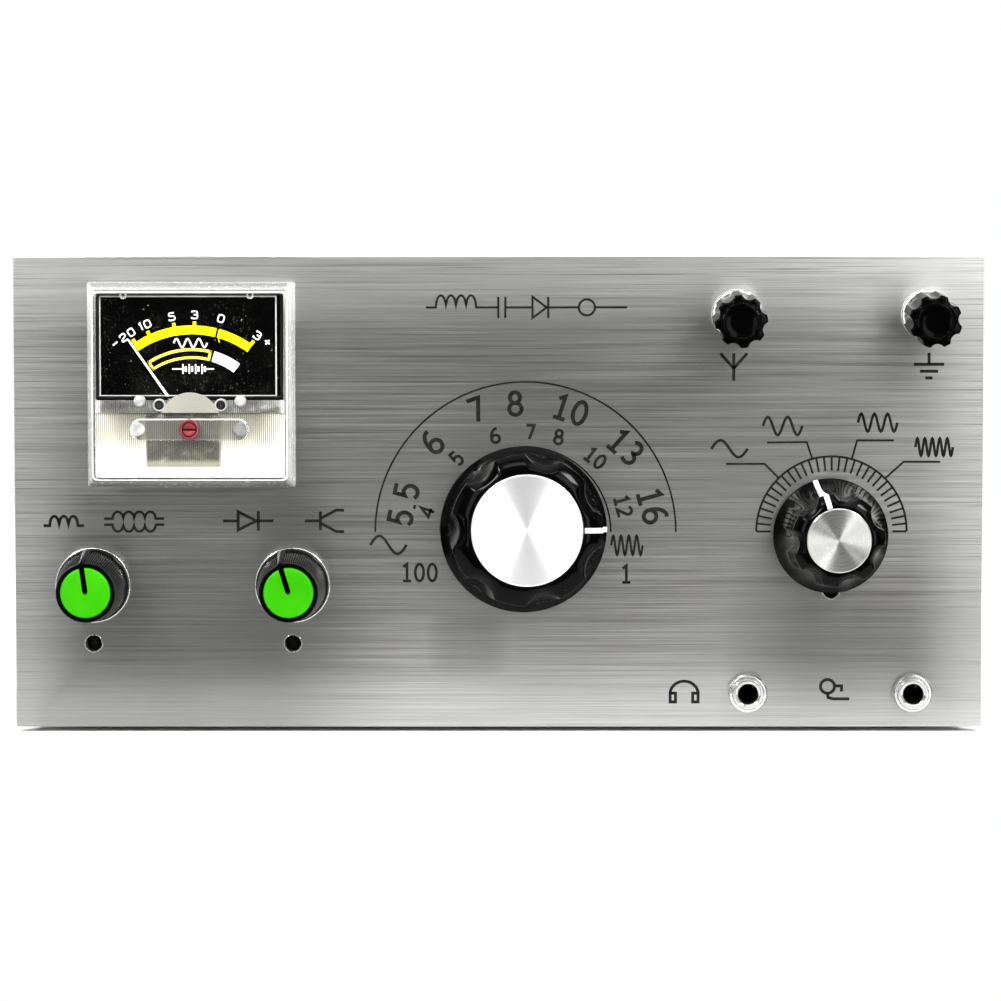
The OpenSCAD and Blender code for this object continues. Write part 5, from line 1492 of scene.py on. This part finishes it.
def strip_plate():
    """Ribbed grey strip between the window and the cream area."""
    x0, x1, v0, v1 = MX - 18.6, MX + 18.6, VC + 16.24, VC + 18.72
    pitch, sub = 0.42, 6
    cols = int((x1 - x0) / pitch) * sub
    verts, faces = [], []
    hb_, hf = 8.15, 8.42
    for z in (v0, v1):
        for i in range(cols + 1):
            verts.append(P(x0 + (x1 - x0) * i / cols, z, hf + 0.07 * math.cos(2 * pi * i / sub)))
    for z in (v0, v1):
        for x in (x0, x1):
            verts.append(P(x, z, hb_))
    n_ = cols + 1
    b = 2 * n_
    for i in range(cols):
        faces.append((i, i + 1, n_ + i + 1, n_ + i))
    faces.append((b, b + 2, b + 3, b + 1))
    faces.append(tuple(range(n_)) + (b + 1, b))
    faces.append(tuple(range(n_, 2 * n_)) + (b + 3, b + 2))
    faces.append((0, n_, b + 2, b))
    faces.append((n_ - 1, 2 * n_ - 1, b + 3, b + 1))
    return obj_from("meter_ribbed_strip", verts, faces, "root", m_strip, slot="ivory_plastic", sharp=60)


m_strip = ribbed_grey()
strip_plate()
m_milky = moulded("milky_plastic", (0.27, 0.27, 0.26), 0.4, vary=0.35, scale=700)
# a darker copy of the milky plastic for the right-hand rivet: painted shade
m_rivet_painted_shade = moulded("rivet_plastic_painted_shade", (0.13, 0.13, 0.125), 0.35, vary=0.4, scale=700)
m_holering = moulded("screw_hole_ring", (0.26, 0.26, 0.245), 0.3, vary=0.3, scale=600)
# a black disc stands down in each screw hole: painted shade
for i, s in enumerate((-1, 1)):
    lathe(f"meter_screw_ring_{i + 1}", PX + s * 6.05, PV + 4.8, rounded([(0.92, 7.5), (0.92, 8.72, 0.04), (1.02, 8.80, 0.05), (1.2, 8.72, 0.1), (1.28, 8.3), (1.28, 7.5)], 3), "root", m_holering, n=48, closed=True, slot="ivory_plastic")
    lathe(f"meter_screw_hole_painted_shade_{i + 1}", PX + s * 6.05, PV + 4.8, [(0, 7.6), (0.94, 7.6), (0.94, 8.5), (0, 8.46)], "root", m_dark, n=40, slot="dial_black")
    lathe(f"meter_boss_{i + 1}", PX + s * 9.9, PV + 5.6, rounded([(0, 7.5), (1.15, 7.5), (1.15, 8.5, 0.2), (0.8, 8.76, 0.2), (0, 8.78)], 4), "root", m_milky, n=48, slot="ivory_plastic")
    lathe(f"meter_rivet_{i + 1}", PX + s * 10.0 - (0.25 if s < 0 else 0.1), PV + 0.05, rounded([(0, 8.2), (1.35, 8.2), (1.42, 8.5, 0.1), (1.2, 8.76, 0.2), (0.5, 8.72, 0.2), (0, 8.66)], 4), "root", m_milky if s < 0 else m_rivet_painted_shade, n=48, slot="ivory_plastic")


for i, x in enumerate((MX - 13.1, MX + 11.8)):
    strip(f"meter_lug_{i + 1}", [(x - 0.5, MV + 18.05), (x - 0.5, MV + 17.35), (x - 0.28, MV + 17.1), (x + 0.28, MV + 17.1), (x + 0.5, MV + 17.35), (x + 0.5, MV + 18.05)], 0.3, "root", m_milky, h=7.3, lift=1.1, slot="ivory_plastic")


def hub():
    """Grey disc segment over the pointer's hub, with a rounded front edge."""
    cy, r, low = PV + 1.3, 6.0, PV + 3.25
    a0 = math.asin((low - cy) / r)
    pts = [(PX + r * math.cos(a0 + (pi - 2 * a0) * k / 40), cy + r * math.sin(a0 + (pi - 2 * a0) * k / 40)) for k in range(41)]
    loops = []
    for d, h in ((0, 8.46), (0, 8.68), (0.05, 8.76), (0.15, 8.79)):
        loops.append([P(PX + (x - PX) * (1 - d / r), max(cy + (y - cy) * (1 - d / r), low + d), h) for x, y in pts])
    return loft("meter_hub_shield", loops, "root", m_hub, slot="hub_grey", replaces=("meter_hub_cover",), sharp=50)


hub()


def zero_screw():
    prof = rounded([(0, 8.2), (1.8, 8.2), (1.8, 8.6), (1.25, 8.65), (1.25, 10.85), (2.08, 10.86, 0.05), (2.08, 11.12, 0.12), (1.86, 11.3, 0.1), (1.5, 11.24, 0.05), (1.48, 11.02, 0.03), (1.27, 11.02, 0.03), (1.25, 11.26, 0.05), (0, 11.26)], 3)
    o = lathe("zero_adjuster_screw", PX, PV + 0.1, prof, "meter_zero_screw", m_red, n=64, slot="adjuster_red", replaces=("zero_adjuster",), sharp=40)
    cut = loft("cut", [rect_loop(PX - 1.22, PX + 1.22, PV + 0.1 - 0.21, PV + 0.1 + 0.21, 0.05, h) for h in (10.85, 12.0)], "root", m_red)
    md = o.modifiers.new("b", "BOOLEAN")
    md.object, md.operation, md.solver = cut, "DIFFERENCE", "EXACT"
    bpy.context.view_layer.update()
    me = bpy.data.meshes.new_from_object(o.evaluated_get(bpy.context.evaluated_depsgraph_get()))
    o.modifiers.clear()
    old = o.data
    o.data = me
    me.name = "zero_adjuster_screw"
    bpy.data.meshes.remove(old)
    od = cut.data
    bpy.data.objects.remove(cut)
    bpy.data.meshes.remove(od)
    me.materials.clear()
    me.materials.append(m_red)
    me.materials.append(m_redclear)
    me.materials.append(m_reddark)
    for p in me.polygons:
        c = p.center
        d = math.hypot(c.x * 1000 - PX, c.z * 1000 - PV - 0.1)
        p.material_index = 1 if (d > 1.5 and -c.y * 1000 + FY > 10.8) else 2 if 1.24 < d < 1.5 or -c.y * 1000 + FY < 11.2 and d < 1.24 else 0
    me.shade_smooth()
    me.set_sharp_from_angle(angle=math.radians(35))


zero_screw()

# pointer: a tapered white blade over the CAD hub
def needle():
    ca, sa = math.cos(math.radians(124.7)), math.sin(math.radians(124.7))
    verts, faces = [], []
    sec = [(0.6, 0.32), (6, 0.27), (14, 0.22), (20.6, 0.18), (21.3, 0.10)]
    for r, w in sec:
        for s, h in ((-w, 6.42), (-w * 0.8, 6.62), (0, 6.72), (w * 0.8, 6.62), (w, 6.42)):
            verts.append(P(PX + r * ca - s * sa, PV + r * sa + s * ca, h))
    for i in range(len(sec) - 1):
        for j in range(5):
            l = (j + 1) % 5
            faces.append((i * 5 + j, i * 5 + l, (i + 1) * 5 + l, (i + 1) * 5 + j))
    faces += [tuple(range(5)), tuple((len(sec) - 1) * 5 + j for j in reversed(range(5)))]
    return obj_from("meter_pointer_blade", verts, faces, "meter_needle", m_white, slot="pointer_white", sharp=20)


needle()

# ---------------------------------------------------------------- stage

fl = bpy.data.meshes.new("floor")
bm = bmesh.new()
pts = []
for cx, cy, a in ((0.45, 0.45, 0), (-0.45, 0.45, 90), (-0.45, 0.025, 180), (0.45, 0.025, 270)):
    for k in range(9):
        t = math.radians(a + 90 * k / 8)
        pts.append(bm.verts.new((cx + 0.12 * math.cos(t), cy + 0.12 * math.sin(t), 0)))
bm.faces.new(pts)
bm.to_mesh(fl)
bm.free()
floor = bpy.data.objects.new("floor", fl)
scene.collection.objects.link(floor)
F = Mat("floor_paper", Roughness=0.9)
F.color(F.ramp(F.noise(40, 3), [(0.3, (0.86, 0.86, 0.855)), (0.7, (0.89, 0.89, 0.885))]))
fl.materials.append(F.m)
